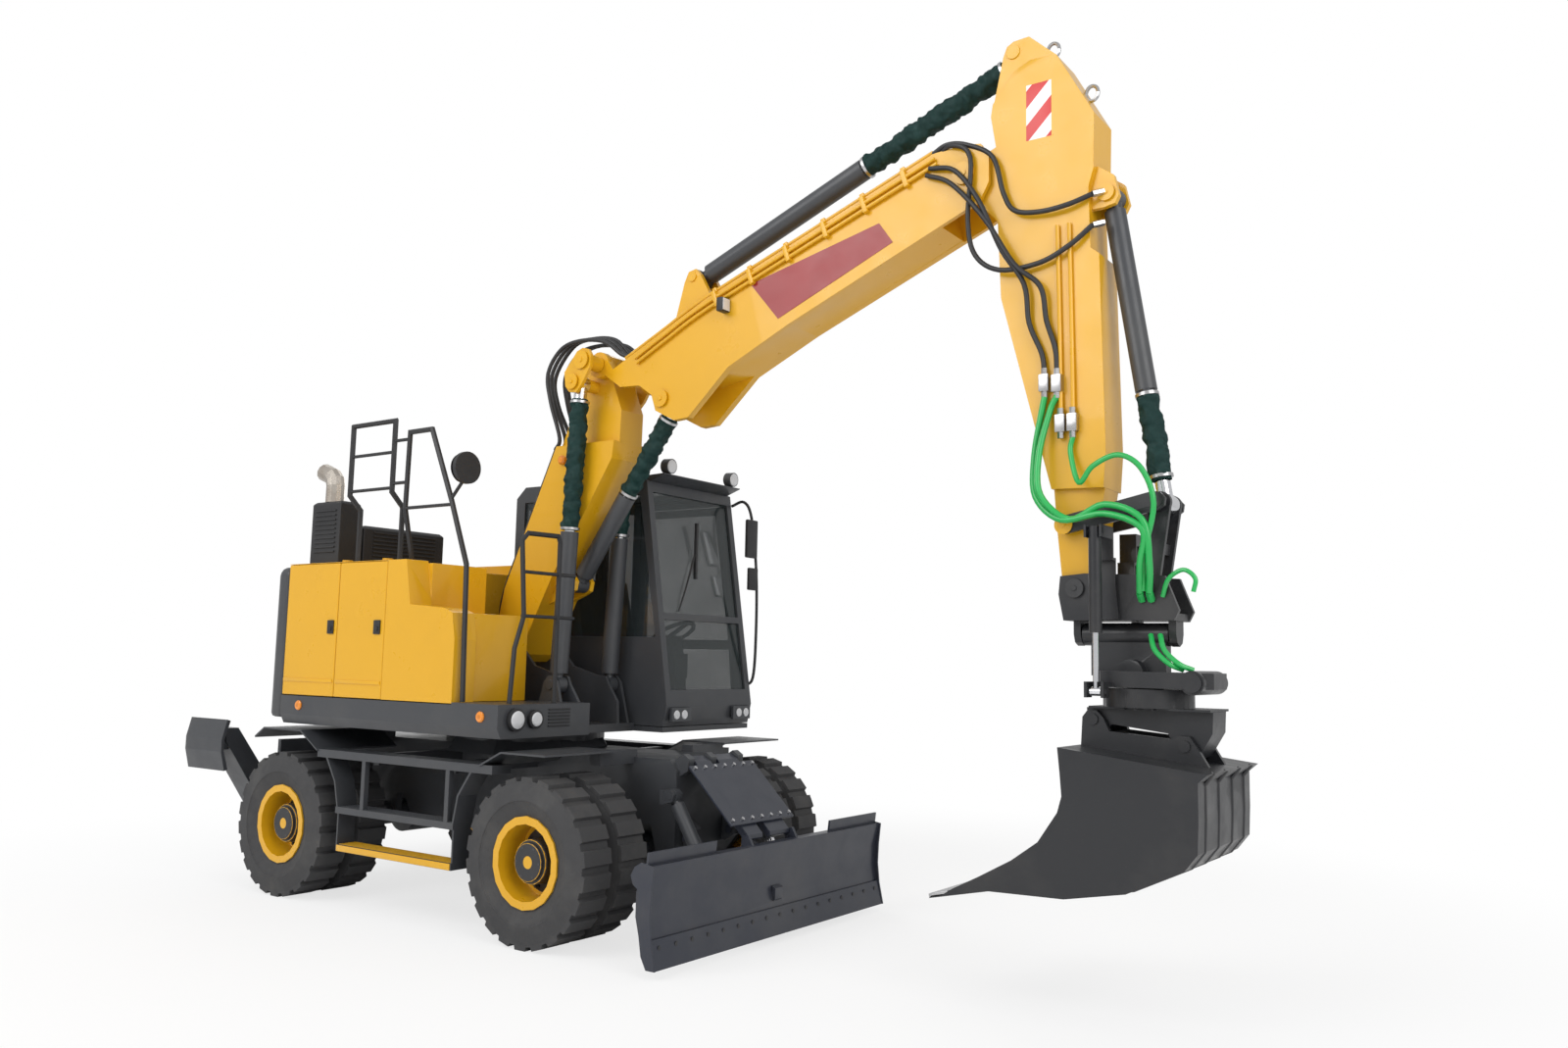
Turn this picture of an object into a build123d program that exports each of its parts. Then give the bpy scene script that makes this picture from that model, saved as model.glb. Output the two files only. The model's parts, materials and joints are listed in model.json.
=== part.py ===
"""Wheeled excavator with a two-piece boom, dozer blade, outriggers and tiltrotator bucket.

Millimetres. X points forward, Y to the left and Z up. The origin lies on the ground under the
centre of the front axle.
"""

import os
from math import atan2, cos, degrees, hypot, pi, radians, sin

from build123d import *

os.makedirs("parts", exist_ok=True)

# Wheels: 10.00-20 twin tyres on planetary axles
WHEELBASE = 2600
TYRE_RADIUS = 525
TYRE_GROOVE_RADIUS = 500
TYRE_SHOULDER_RADIUS = 492
TYRE_BULGE_RADIUS = 390
TYRE_BEAD_RADIUS = 290
TYRE_BORE_RADIUS = 254
TYRE_HALF_TREAD = 118
TYRE_HALF_WIDTH = 139
TYRE_HALF_BEAD = 98
TYRE_LUGS = 22
OUTER_TYRE_Y = 1136
INNER_TYRE_Y = 811
RIM_SIDES = 18
RIM_RADIUS = 250
RIM_INNER_RADIUS = 236
RIM_FLANGE_RADIUS = 286
RIM_FLANGE = 14
RIM_DISC_Y = (1020, 1052)
HUB_RADIUS = 138
HUB_Y = (884, 1196)
HUB_CAP_RADIUS = 118
HUB_CAP_Y = 1218
SPINDLE_RADIUS = 60
SPINDLE_END_Y = 1000
RUNNING_FIT = 0.05
KINGPIN_Y = 780
KINGPIN_RADIUS = 32
AXLE_RADIUS = 92

# Chassis
FRAME_HALF_WIDTH = 330
FRAME_TOP = 1130
SLEW_X = -1300
RING_RADIUS = 560
RING_TOP = 1250
SIDE_Y = 1245
STEP_INNER_Y = 1085
FENDER_TOP = 1234

# Revolving upper body
HOUSE_BOTTOM = 1262
DECK_TOP = 1483
BODY_TOP = 2455
TAIL_X = -2690
REAR_SPLIT_X = -2053
FRONT_SPLIT_X = -1503
DECK_FRONT_X = -301
DECK_INNER_Y = -403
DOOR_THICKNESS = 42
LEFT_DOOR_FRONT_X = -1886
DOOR_GAP = 6
CAB_RIGHT_Y = 206
CAB_FRONT_X = -118
CAB_REAR_X = -1800
CAB_BOTTOM = 1305
CAB_TOP = 3170
CAB_WALL = 45
GLASS = 8

# Arm, in its own vertical plane
BOOM_Y = -165
BOOM_HALF_WIDTH = 180
FOOT = (-1180, 1850)
ELBOW = (-400, 3920)
NOSE = (2545, 4725)
STICK_TIP = (3208, 2232)
LIFT_BASE = (-600, 1600)
LIFT_EYE = (-486, 3772)
ADJUST_BASE = (-690, 2330)
ADJUST_EYE = (215, 3605)
STICK_CYL_BASE = (400, 4470)
STICK_CYL_EYE = (2842, 5425)
BUCKET_CYL_BASE = (3390, 4455)
ROCKER_PIN = (3157, 2580)
ROCKER_EYE = (3669, 2688)
LINK_PIN = (3596, 2226)
PIN_RADIUS = 38
LIFT_SPREAD = 262
STICK_HALF_WIDTH = 140
LIFT_BARREL_END = 1093
ADJUST_BARREL_END = 780
STICK_BARREL_END = 1438
BUCKET_BARREL_END = 1150
SLEEVE_COLLAR = 24

# Tiltrotator and bucket
TILT_AXIS_Z = 1985
ROTOR_X = 3560
HITCH_TOP = 1600
BUCKET_HALF_WIDTH = 480
HITCH_FRONT_PIN = (3310, 1529)
HITCH_REAR_PIN = (3795, 1412)
TILT_CYL_X = 3393
TILT_CYL_SPREAD = 330
TILT_CYL_TOP = 2521
TILT_CYL_FOOT = 1679
BUCKET_ROD_LENGTH = 1180

# Dozer blade and outriggers
BLADE_HALF_WIDTH = 1275
BLADE_BOTTOM = 59
ARM_PIN = (500, 640)
BLADE_PIN = (925, 235)
COVER_PIN = (480, 1110)
COVER_EYE = (965, 640)
BLADE_CYL_BASE = (480, 905)
BLADE_CYL_EYE = (850, 330)
OUTRIGGER_X = (-3740, -3480)
OUTRIGGER_PIN = (700, 480)
SIDES = {"left": 1, "right": -1}


def side_plate(points, y_low, y_high, mode=Mode.ADD):
    """Add a plate with its outline of (x, z) points upright, reaching from y_low to y_high."""
    with BuildSketch(Plane.XZ.offset(-y_low)) as outline:
        with BuildLine():
            Polyline(*points, close=True)
        make_face()
    extrude(outline.sketch, amount=y_low - y_high, mode=mode)


def cross_plate(points, x_low, x_high, mode=Mode.ADD):
    """Add a plate with its outline of (y, z) points across the machine, from x_low to x_high."""
    with BuildSketch(Plane.YZ.offset(x_low)) as outline:
        with BuildLine():
            Polyline(*points, close=True)
        make_face()
    extrude(outline.sketch, amount=x_high - x_low, mode=mode)


def flat_plate(points, z_low, z_high, mode=Mode.ADD):
    """Add a plate with its outline of (x, y) points lying flat, from z_low to z_high."""
    with BuildSketch(Plane.XY.offset(z_low)) as outline:
        with BuildLine():
            Polyline(*points, close=True)
        make_face()
    extrude(outline.sketch, amount=z_high - z_low, mode=mode)


def block(x, y, z, mode=Mode.ADD):
    """Add a block between the low and high values of x, y and z."""
    flat_plate([(x[0], y[0]), (x[1], y[0]), (x[1], y[1]), (x[0], y[1])], z[0], z[1], mode)


def bar(start, end, radius, bore=0, mode=Mode.ADD):
    """Add a round bar between two points, or a tube where it has a bore radius."""
    base = Vector(*start)
    along = Vector(*end) - base
    with BuildSketch(Plane(origin=base, z_dir=along)) as section:
        Circle(radius)
        if bore:
            Circle(bore, mode=Mode.SUBTRACT)
    extrude(section.sketch, amount=along.length, mode=mode)


def cross_bar(point, y_low, y_high, radius, bore=0, mode=Mode.ADD):
    """Add a bar or tube along Y through the (x, z) point."""
    x, z = point
    bar((x, y_low, z), (x, y_high, z), radius, bore, mode)


def mitred_tube(points, radius):
    """Add a six-sided tube run along the points, mitred where it bends."""
    with BuildLine() as route:
        Polyline(*points)
    with BuildSketch(Plane(origin=points[0], z_dir=Vector(*points[1]) - Vector(*points[0]))) as section:
        RegularPolygon(radius, 6)
    sweep(section.sketch, path=route.line, transition=Transition.RIGHT)


def facet_ring(x, z, y_low, y_high, radius, sides, mode=Mode.ADD):
    """Add a many-sided disc about a wheel's axle, with the given radius at its corners."""
    with BuildSketch(Plane(origin=(x, y_low, z), x_dir=(1, 0, 0), z_dir=(0, 1, 0))) as outline:
        RegularPolygon(radius, sides, rotation=180 / sides)
    extrude(outline.sketch, amount=y_high - y_low, mode=mode)


def facet_cone(x, z, y_start, y_end, start_radius, end_radius, sides, mode=Mode.ADD):
    """Add a many-sided cone about a wheel's axle that narrows from its start to its end."""
    toward = 1 if y_end > y_start else -1
    depth = abs(y_end - y_start)
    slope = degrees(atan2((start_radius - end_radius) * cos(pi / sides), depth))
    with BuildSketch(Plane(origin=(x, y_start, z), x_dir=(1, 0, 0), z_dir=(0, toward, 0))) as near:
        RegularPolygon(start_radius, sides, rotation=180 / sides)
    extrude(near.sketch, amount=depth, taper=slope, mode=mode)


def tread_points():
    """Return the outline of the tread, in (x, z) about the axle, with a groove before each lug."""
    pitch = 2 * pi / TYRE_LUGS
    shape = [(-0.36, TYRE_GROOVE_RADIUS), (-0.30, TYRE_RADIUS), (0.30, TYRE_RADIUS), (0.36, TYRE_GROOVE_RADIUS)]
    points = []
    for lug in range(TYRE_LUGS):
        for share, radius in shape:
            angle = (lug + share) * pitch - pi / 2
            points.append((radius * cos(angle), radius * sin(angle)))
    return points


def along(start, end, distance):
    """Return the (x, z) point at a distance from start towards end."""
    length = hypot(end[0] - start[0], end[1] - start[1])
    share = distance / length
    return (start[0] + share * (end[0] - start[0]), start[1] + share * (end[1] - start[1]))


def span(start, end):
    """Return the distance between two (x, z) points."""
    return hypot(end[0] - start[0], end[1] - start[1])


# Chassis frame: a welded box beam, arched over the axles, with the ring's seat on top
with BuildPart() as chassis_frame:
    side_plate(
        [(-3440, 560), (-3440, 1080), (-3380, FRAME_TOP), (380, FRAME_TOP), (440, 1060), (440, 560),
         (360, 470), (290, 470), (230, 690), (-240, 690), (-330, 560), (-2270, 560), (-2360, 690),
         (-2840, 690), (-2930, 560)],
        -FRAME_HALF_WIDTH, FRAME_HALF_WIDTH,
    )
    with BuildSketch(Plane.XY.offset(FRAME_TOP - 40)) as ring_seat:
        with Locations((SLEW_X, 0)):
            RegularPolygon(RING_RADIUS + 90, 8, rotation=22.5)
    extrude(ring_seat.sketch, amount=100, taper=29)
    for y in (-240, 180):
        side_plate([(400, 560), (470, 560), (545, 610), (545, 680), (470, 730), (400, 730)], y, y + 60)
        cross_bar(ARM_PIN, y - 1, y + 61, 31, mode=Mode.SUBTRACT)
    for y in (-300, -60, 240):
        side_plate([(400, 1000), (510, 1060), (520, 1140), (470, 1170), (400, 1128)], y, y + 60)
    block((400, 430), (-449, 449), (850, 940))
    for y in (-445, -375, 355, 425):
        side_plate([(425, 850), (500, 870), (520, 920), (490, 950), (425, 940)], y, y + 20)
    for low, high in ((-449, -351), (351, 449)):
        cross_bar(BLADE_CYL_BASE, low, high, 20)
    for side in SIDES.values():
        block((-3440, -3400), sorted((side * 300, side * 760)), (400, 1080))
        cross_plate([(side * 640, 400), (side * 780, 400), (side * 780, 560), (side * 640, 620)], -3450, -3400)
        for x in (-1720, -900):
            block((x - 30, x + 30), sorted((side * 300, side * 1084)), (1000, 1080))
        for x, top in ((-2600, 1210), (0, 1178)):
            block((x - 40, x + 60), sorted((side * 300, side * 660)), (1085, top))
    with BuildSketch(Plane.XY.offset(FRAME_TOP + 50)) as ring_outline:
        with Locations((SLEW_X, 0)):
            Circle(RING_RADIUS)
            Circle(RING_RADIUS - 110, mode=Mode.SUBTRACT)
    extrude(ring_outline.sketch, amount=RING_TOP - FRAME_TOP - 50)

# Axles: the front beam ends in yokes for the knuckles, the rear beam in spindles
with BuildPart() as axles:
    cross_bar((0, TYRE_RADIUS), -640, 640, AXLE_RADIUS)
    cross_bar((0, TYRE_RADIUS), -150, 190, 165)
    block((-70, 70), (-110, 110), (600, 684))
    for side in SIDES.values():
        block((-85, 85), sorted((side * 600, side * 690)), (365, 685))
        for z in ((365, 395), (655, 685)):
            block((-62, 62), sorted((side * 680, side * 850)), z)
        bar((0, side * KINGPIN_Y, 360), (0, side * KINGPIN_Y, 690), KINGPIN_RADIUS + RUNNING_FIT, mode=Mode.SUBTRACT)
    cross_bar((-WHEELBASE, TYRE_RADIUS), -SPINDLE_END_Y, SPINDLE_END_Y, SPINDLE_RADIUS)
    cross_bar((-WHEELBASE, TYRE_RADIUS), -860, 860, AXLE_RADIUS)
    cross_bar((-WHEELBASE, TYRE_RADIUS), -150, 190, 165)
    for y in (-300, 240):
        block((-WHEELBASE - 110, -WHEELBASE + 110), (y, y + 60), (TYRE_RADIUS, 690))
    block((-1750, -1350), (-130, 130), (430, 560))
    bar((-2436, 0, 505), (-1750, 0, 495), 42)
    bar((-1350, 0, 495), (-164, 0, 505), 42)

# Steering knuckles with their trunnions and spindles
knuckles = {}
for name, side in SIDES.items():
    with BuildPart() as knuckle:
        block((-52, 52), sorted((side * 728, side * 832)), (400, 650))
        bar((0, side * KINGPIN_Y, 366), (0, side * KINGPIN_Y, 684), KINGPIN_RADIUS)
        cross_bar((0, TYRE_RADIUS), *sorted((side * 820, side * 866)), 110)
        cross_bar((0, TYRE_RADIUS), *sorted((side * 820, side * SPINDLE_END_Y)), SPINDLE_RADIUS)
        block((-150, -40), sorted((side * 755, side * 795)), (500, 560))
    knuckles[name] = knuckle

# Twin tyres and twin rims of one wheel on the left, then placed at all four
with BuildPart() as tyre:
    side_plate(tread_points(), -TYRE_HALF_TREAD, TYRE_HALF_TREAD)
    for out in (-1, 1):
        face = out * TYRE_HALF_WIDTH
        facet_cone(0, 0, out * TYRE_HALF_TREAD, face, TYRE_SHOULDER_RADIUS, TYRE_BULGE_RADIUS, TYRE_LUGS)
        facet_cone(0, 0, face, out * TYRE_HALF_BEAD, TYRE_BULGE_RADIUS, TYRE_BEAD_RADIUS, TYRE_LUGS,
                   Mode.SUBTRACT)
    facet_ring(0, 0, -TYRE_HALF_WIDTH, TYRE_HALF_WIDTH, TYRE_BORE_RADIUS, TYRE_LUGS, Mode.SUBTRACT)
with BuildPart() as rim_pair:
    for centre, out in ((OUTER_TYRE_Y, 1), (INNER_TYRE_Y, -1)):
        flange = centre + out * TYRE_HALF_BEAD
        back = centre - out * (TYRE_HALF_BEAD + 6)
        facet_ring(0, 0, *sorted((flange, flange + out * RIM_FLANGE)), RIM_FLANGE_RADIUS, RIM_SIDES)
        facet_ring(0, 0, *sorted((back, flange)), RIM_RADIUS, RIM_SIDES)
    facet_ring(0, 0, INNER_TYRE_Y, OUTER_TYRE_Y, RIM_RADIUS, RIM_SIDES)
    facet_ring(0, 0, RIM_DISC_Y[1], OUTER_TYRE_Y + TYRE_HALF_WIDTH, RIM_INNER_RADIUS, RIM_SIDES, Mode.SUBTRACT)
    facet_ring(0, 0, INNER_TYRE_Y - TYRE_HALF_WIDTH, RIM_DISC_Y[0], RIM_INNER_RADIUS, RIM_SIDES, Mode.SUBTRACT)
    facet_ring(0, 0, *HUB_Y, HUB_RADIUS, RIM_SIDES)
    facet_ring(0, 0, HUB_Y[1], HUB_CAP_Y, HUB_CAP_RADIUS, RIM_SIDES)
    cross_bar((0, 0), HUB_Y[0] - 1, SPINDLE_END_Y + 8, SPINDLE_RADIUS + RUNNING_FIT, mode=Mode.SUBTRACT)
tyres = {}
rims = {}
for end, axle_x in (("front", 0), ("rear", -WHEELBASE)):
    for name, side in SIDES.items():
        with BuildPart() as tyre_pair:
            for centre in (OUTER_TYRE_Y, INNER_TYRE_Y):
                add(tyre.part.moved(Location((axle_x, side * centre, TYRE_RADIUS))))
        tyres[f"{end}_{name}"] = tyre_pair
        with BuildPart() as placed_rims:
            placed = rim_pair.part if side > 0 else mirror(rim_pair.part, about=Plane.XZ, mode=Mode.PRIVATE)
            add(placed.moved(Location((axle_x, 0, TYRE_RADIUS))))
        rims[f"{end}_{name}"] = placed_rims

# Steps between the wheels, and the bent plates over them
with BuildPart() as steps_fenders:
    for side in SIDES.values():
        low, high = sorted((side * STEP_INNER_Y, side * SIDE_Y))
        side_plate([(-2190, 1040), (-2190, 1096), (-330, 1096), (-330, 1040)], low, high)
        side_plate([(-1940, 660), (-1940, 706), (-680, 706), (-680, 660)], low, high)
        side_plate([(-1910, 400), (-1910, 446), (-680, 446), (-680, 400)], low, high)
        for x in (-1668, -778):
            block((x, x + 38), sorted((side * 1205, side * 1243)), (700, 1045))
        for x in (-1925, -694):
            block((x, x + 14), sorted((side * 1095, side * 1235)), (400, 700))
        side_plate([(-694, 690), (-680, 690), (-640, 880), (-520, 1045), (-540, 1045), (-655, 885)], low, high)
        side_plate([(-1925, 690), (-1911, 690), (-1960, 880), (-2070, 1045), (-2090, 1045), (-1975, 880)], low, high)
    for side in SIDES.values():
        low, high = sorted((side * 560, side * 1255))
        side_plate([(-2985, 1150), (-2870, 1222), (-2400, 1222), (-2185, 1092), (-2185, 1080), (-2404, 1210),
                    (-2866, 1210), (-2980, 1138)], low, high)
        side_plate([(-442, 1098), (-442, 1086), (-246, 1178), (150, 1178), (150, 1190), (-250, 1190)],
                   low, high)

# Dozer blade: curved mouldboard with end plates, raised corner plates and a cutting edge
with BuildPart() as blade:
    side_plate(
        [(1091, BLADE_BOTTOM), (1048, 190), (1030, 330), (1034, 470), (1062, 610), (1062, 625), (985, 625),
         (985, 560), (940, 470), (940, 330), (975, 200), (1060, BLADE_BOTTOM)],
        -BLADE_HALF_WIDTH + 14, BLADE_HALF_WIDTH - 14,
    )
    side_plate([(1102, 50), (1092, 50), (1048, 200), (1050, 214), (1060, 214)], -BLADE_HALF_WIDTH + 14,
               BLADE_HALF_WIDTH - 14)
    for side in SIDES.values():
        low, high = sorted((side * (BLADE_HALF_WIDTH - 14), side * BLADE_HALF_WIDTH))
        side_plate([(1106, 50), (1072, 200), (1058, 340), (1064, 480), (1080, 625), (985, 640), (935, 612),
                    (905, 560), (925, 510), (972, 480), (968, 300), (1000, 120), (1040, 50)], low, high)
        low, high = sorted((side * 640, side * (BLADE_HALF_WIDTH - 6)))
        side_plate([(1012, 600), (1028, 600), (1040, 700), (1024, 700)], low, high)
        for y in (side * 222, side * 306):
            side_plate([(1000, 150), (905, 195), (885, 235), (900, 275), (1000, 330)], y - 12, y + 12)
        low, high = sorted((side * 236, side * 260))
        side_plate([(1000, 540), (935, 600), (940, 680), (990, 690), (1030, 620)], low, high)
        low, high = sorted((side * 210, side * 318))
        cross_bar(BLADE_PIN, low, high, 20)
    side_plate([(1034, 250), (1062, 265), (1062, 335), (1034, 350)], -45, 45)

# Blade linkage: two lower arms, the cover plate as upper link, and two cylinders
with BuildPart() as blade_arms:
    for side in SIDES.values():
        low, high = sorted((side * 250, side * 288))
        side_plate([(470, 600), (540, 600), (900, 210), (930, 203), (955, 230), (948, 262), (540, 690), (475, 690)],
                   low, high)
        low, high = sorted((side * 176, side * 252))
        cross_bar(ARM_PIN, low, high, 30)
    cross_bar(BLADE_CYL_EYE, -366, 366, 34)
    cross_bar(BLADE_PIN, -289, 289, 20 + RUNNING_FIT, mode=Mode.SUBTRACT)
with BuildPart() as blade_cover:
    side_plate([(455, 1152), (520, 1120), (972, 682), (972, 655), (950, 640), (936, 652), (500, 1062), (455, 1085)],
               -232, -70)
    side_plate([(455, 1152), (520, 1120), (972, 682), (972, 655), (950, 640), (936, 652), (500, 1062), (455, 1085)],
               10, 232)
    side_plate([(565, 1104), (930, 750), (918, 738), (552, 1091)], -350, 350)

# Blade cylinders: barrels hinged on the chassis, rods reaching the arms' cross tube
with BuildPart() as blade_barrels:
    for side in SIDES.values():
        y = side * 400
        cross_bar(BLADE_CYL_BASE, y - 24, y + 24, 46)
        near = along(BLADE_CYL_BASE, BLADE_CYL_EYE, 64)
        far = along(BLADE_CYL_BASE, BLADE_CYL_EYE, 400)
        bar((BLADE_CYL_BASE[0], y, BLADE_CYL_BASE[1]), (near[0], y, near[1]), 22)
        bar((near[0], y, near[1]), (far[0], y, far[1]), 46)
        bar((near[0], y, near[1]), (far[0], y, far[1]), 26.05, mode=Mode.SUBTRACT)
        cross_bar(BLADE_CYL_BASE, y - 25, y + 25, 20 + RUNNING_FIT, mode=Mode.SUBTRACT)
with BuildPart() as blade_rods:
    for side in SIDES.values():
        y = side * 400
        near = along(BLADE_CYL_BASE, BLADE_CYL_EYE, 185)
        bar((near[0], y, near[1]), (BLADE_CYL_EYE[0], y, BLADE_CYL_EYE[1]), 26)
        cross_bar(BLADE_CYL_EYE, y - 26, y + 26, 44)

# Outriggers: a leg swinging out and down, with a bent ground plate at its end
outriggers = {}
for name, side in SIDES.items():
    y, z = OUTRIGGER_PIN
    with BuildPart() as outrigger:
        cross_plate(
            [(side * (y - 60), z - 60), (side * (y + 60), z - 60), (side * 1190, 1080), (side * 1190, 1180),
             (side * 1090, 1180), (side * (y - 60), z + 60)], *OUTRIGGER_X,
        )
        bar((OUTRIGGER_X[1] - 1, side * y, z), (OUTRIGGER_X[1] + 26, side * y, z), 36)
        cross_plate(
            [(side * 1196, 860), (side * 1226, 850), (side * 1262, 1000), (side * 1262, 1100),
             (side * 1226, 1250), (side * 1196, 1240), (side * 1238, 1095), (side * 1238, 1005)],
            OUTRIGGER_X[0] - 200, OUTRIGGER_X[1] + 60,
        )
        block((OUTRIGGER_X[0] + 20, OUTRIGGER_X[1] - 20), sorted((side * 1150, side * 1245)), (1010, 1100))
    outriggers[name] = outrigger

# Revolving frame: deck, skirt, boom foot plates and lift cylinder lugs
with BuildPart() as revolving_frame:
    with BuildSketch(Plane.XY.offset(RING_TOP + 2)) as turning_ring:
        with Locations((SLEW_X, 0)):
            Circle(RING_RADIUS - 20)
    extrude(turning_ring.sketch, amount=HOUSE_BOTTOM - RING_TOP)
    cross_plate([(-SIDE_Y, 1469), (-SIDE_Y, 1330), (-1212, HOUSE_BOTTOM), (DECK_INNER_Y, HOUSE_BOTTOM),
                 (DECK_INNER_Y, 1469)], TAIL_X, -757)
    cross_plate([(-SIDE_Y, DECK_TOP), (-SIDE_Y, 1330), (-1212, HOUSE_BOTTOM), (DECK_INNER_Y, HOUSE_BOTTOM),
                 (DECK_INNER_Y, DECK_TOP)], -757, DECK_FRONT_X)
    block((TAIL_X, -430), (DECK_INNER_Y, CAB_RIGHT_Y), (HOUSE_BOTTOM, 1320))
    block((TAIL_X, -150), (CAB_RIGHT_Y, SIDE_Y), (HOUSE_BOTTOM, 1300))
    block((TAIL_X, CAB_REAR_X - 60), (CAB_RIGHT_Y, SIDE_Y), (HOUSE_BOTTOM, 1469))
    for side in (-1, 1):
        low, high = sorted((BOOM_Y + side * 187, BOOM_Y + side * 211))
        side_plate([(-1380, 1320), (-1310, 1860), (-1240, 1945), (-1120, 1945), (-900, 1730), (-660, 1670),
                    (-560, 1660), (-530, 1600), (-440, 1480), (-430, 1320)], low, high)
        low, high = sorted((BOOM_Y + side * 314, BOOM_Y + side * 339))
        side_plate([(-760, 1310), (-665, 1620), (-625, 1664), (-575, 1664), (-535, 1620), (-445, 1310)], low, high)
    cross_bar(FOOT, BOOM_Y - 226, BOOM_Y + 226, 45)
    for side in (-1, 1):
        low, high = sorted((BOOM_Y + side * 200, BOOM_Y + side * 350))
        cross_bar(LIFT_BASE, low, high, 34)

# Counterweight, rounded at its corners
with BuildPart() as counterweight:
    flat_plate([(TAIL_X - 4, -SIDE_Y), (-2800, -SIDE_Y), (-2890, -1190), (-2940, -1080), (-2962, -800),
                (-2970, 0), (-2962, 800), (-2940, 1080), (-2890, 1190), (-2800, SIDE_Y), (TAIL_X - 4, SIDE_Y)],
               HOUSE_BOTTOM + 40, 2440)
    chamfer(counterweight.faces().sort_by(Axis.Z)[-1].edges(), 40)
    for side in SIDES.values():
        block((-2972, -2880), sorted((side * 700, side * 960)), (1560, 1700), Mode.SUBTRACT)

# Fixed body panels: tank and toolbox, bulkheads, walkway and engine bay walls
with BuildPart() as body_panels:
    side_plate([(-1500, 1475), (-757, 1475), (-757, 1900), (-790, 2080), (-870, 2110), (-1240, 2140),
                (-1300, BODY_TOP), (-1500, BODY_TOP)], -SIDE_Y, -1056)
    side_plate([(-1500, 1475), (-790, 1484), (-790, 2080), (-1250, 2100), (-1250, 2440), (-1500, 2440)],
               -1056, -560)
    block((TAIL_X + 6, -1500), (-1200, -560), (2400, BODY_TOP))
    block((TAIL_X + 6, -1500), (-SIDE_Y, -1190), (BODY_TOP - 4, BODY_TOP))
    block((TAIL_X + 6, -1880), (-560, 1196), (2400, BODY_TOP))
    block((TAIL_X + 6, -1880), (1190, SIDE_Y), (BODY_TOP - 4, BODY_TOP))
    block((TAIL_X + 6, -2676), (-1196, 1196), (1475, 2400))
    block((REAR_SPLIT_X - 8, REAR_SPLIT_X + 8), (-1196, -560), (1475, 2400))
    block((TAIL_X + 6, -1500), (-575, -560), (1475, 2400))
    block((-1894, -1880), (-560, 1196), (1475, 2400))
    block((-2640, -2380), (-820, -130), (2390, BODY_TOP + 10), Mode.SUBTRACT)
    block((-2560, -1960), (380, 1000), (BODY_TOP, 2550))
    for x in (-2260, -1780):
        for y in (-1040, -800):
            cross = (x, y, BODY_TOP - 10)
            bar(cross, (x, y, BODY_TOP + 34), 38)

# Doors of the right and left sides, and the engine hood hinged at its rear edge
with BuildPart() as door_right_rear:
    block((TAIL_X + DOOR_GAP, REAR_SPLIT_X - 3), (-SIDE_Y, -SIDE_Y + DOOR_THICKNESS), (1475, 2449))
    block((-2640, -2110), (-SIDE_Y + 24, -SIDE_Y + 60), (1520, 2380), Mode.SUBTRACT)
with BuildPart() as door_right_middle:
    block((REAR_SPLIT_X + 3, FRONT_SPLIT_X - 3), (-SIDE_Y, -SIDE_Y + DOOR_THICKNESS), (1475, 2449))
    block((-2000, -1556), (-SIDE_Y + 24, -SIDE_Y + 60), (1520, 2380), Mode.SUBTRACT)
with BuildPart() as door_left:
    block((TAIL_X + DOOR_GAP, LEFT_DOOR_FRONT_X), (SIDE_Y - DOOR_THICKNESS, SIDE_Y), (1475, 2449))
    block((-2640, -1930), (SIDE_Y - 60, SIDE_Y - 24), (1520, 2380), Mode.SUBTRACT)
with BuildPart() as engine_hood:
    block((TAIL_X + 4, -2330), (-860, -90), (2461, 2780))
    chamfer(engine_hood.faces().sort_by(Axis.Z)[-1].edges(), 24)
    block((TAIL_X + 34, -2360), (-830, -120), (2455, 2750), Mode.SUBTRACT)
with BuildPart() as engine_block:
    block((-2600, -1950), (-540, 300), (1475, 2250))
    for x in (-2560, -2070):
        block((x, x + 80), (-340, 160), (1320, 1475))
    block((-2500, -2050), (-440, 200), (2240, 2330))
with BuildPart() as muffler_cover:
    block((TAIL_X + 4, -2330), (-1080, -900), (BODY_TOP, 2950))
    chamfer(muffler_cover.faces().sort_by(Axis.Z)[-1].edges(), 20)
with BuildPart() as exhaust_pipe:
    with BuildLine() as bend:
        Polyline((-2540, -990, 2952), (-2540, -990, 3082), (-2552, -990, 3127), (-2585, -990, 3160),
                 (-2630, -990, 3178), (-2690, -990, 3200))
    with BuildSketch(Plane(origin=bend.line @ 0, z_dir=(0, 0, 1))) as pipe_ring:
        RegularPolygon(70, 12)
        RegularPolygon(64, 12, mode=Mode.SUBTRACT)
    sweep(pipe_ring.sketch, path=bend.line, transition=Transition.RIGHT)

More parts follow.
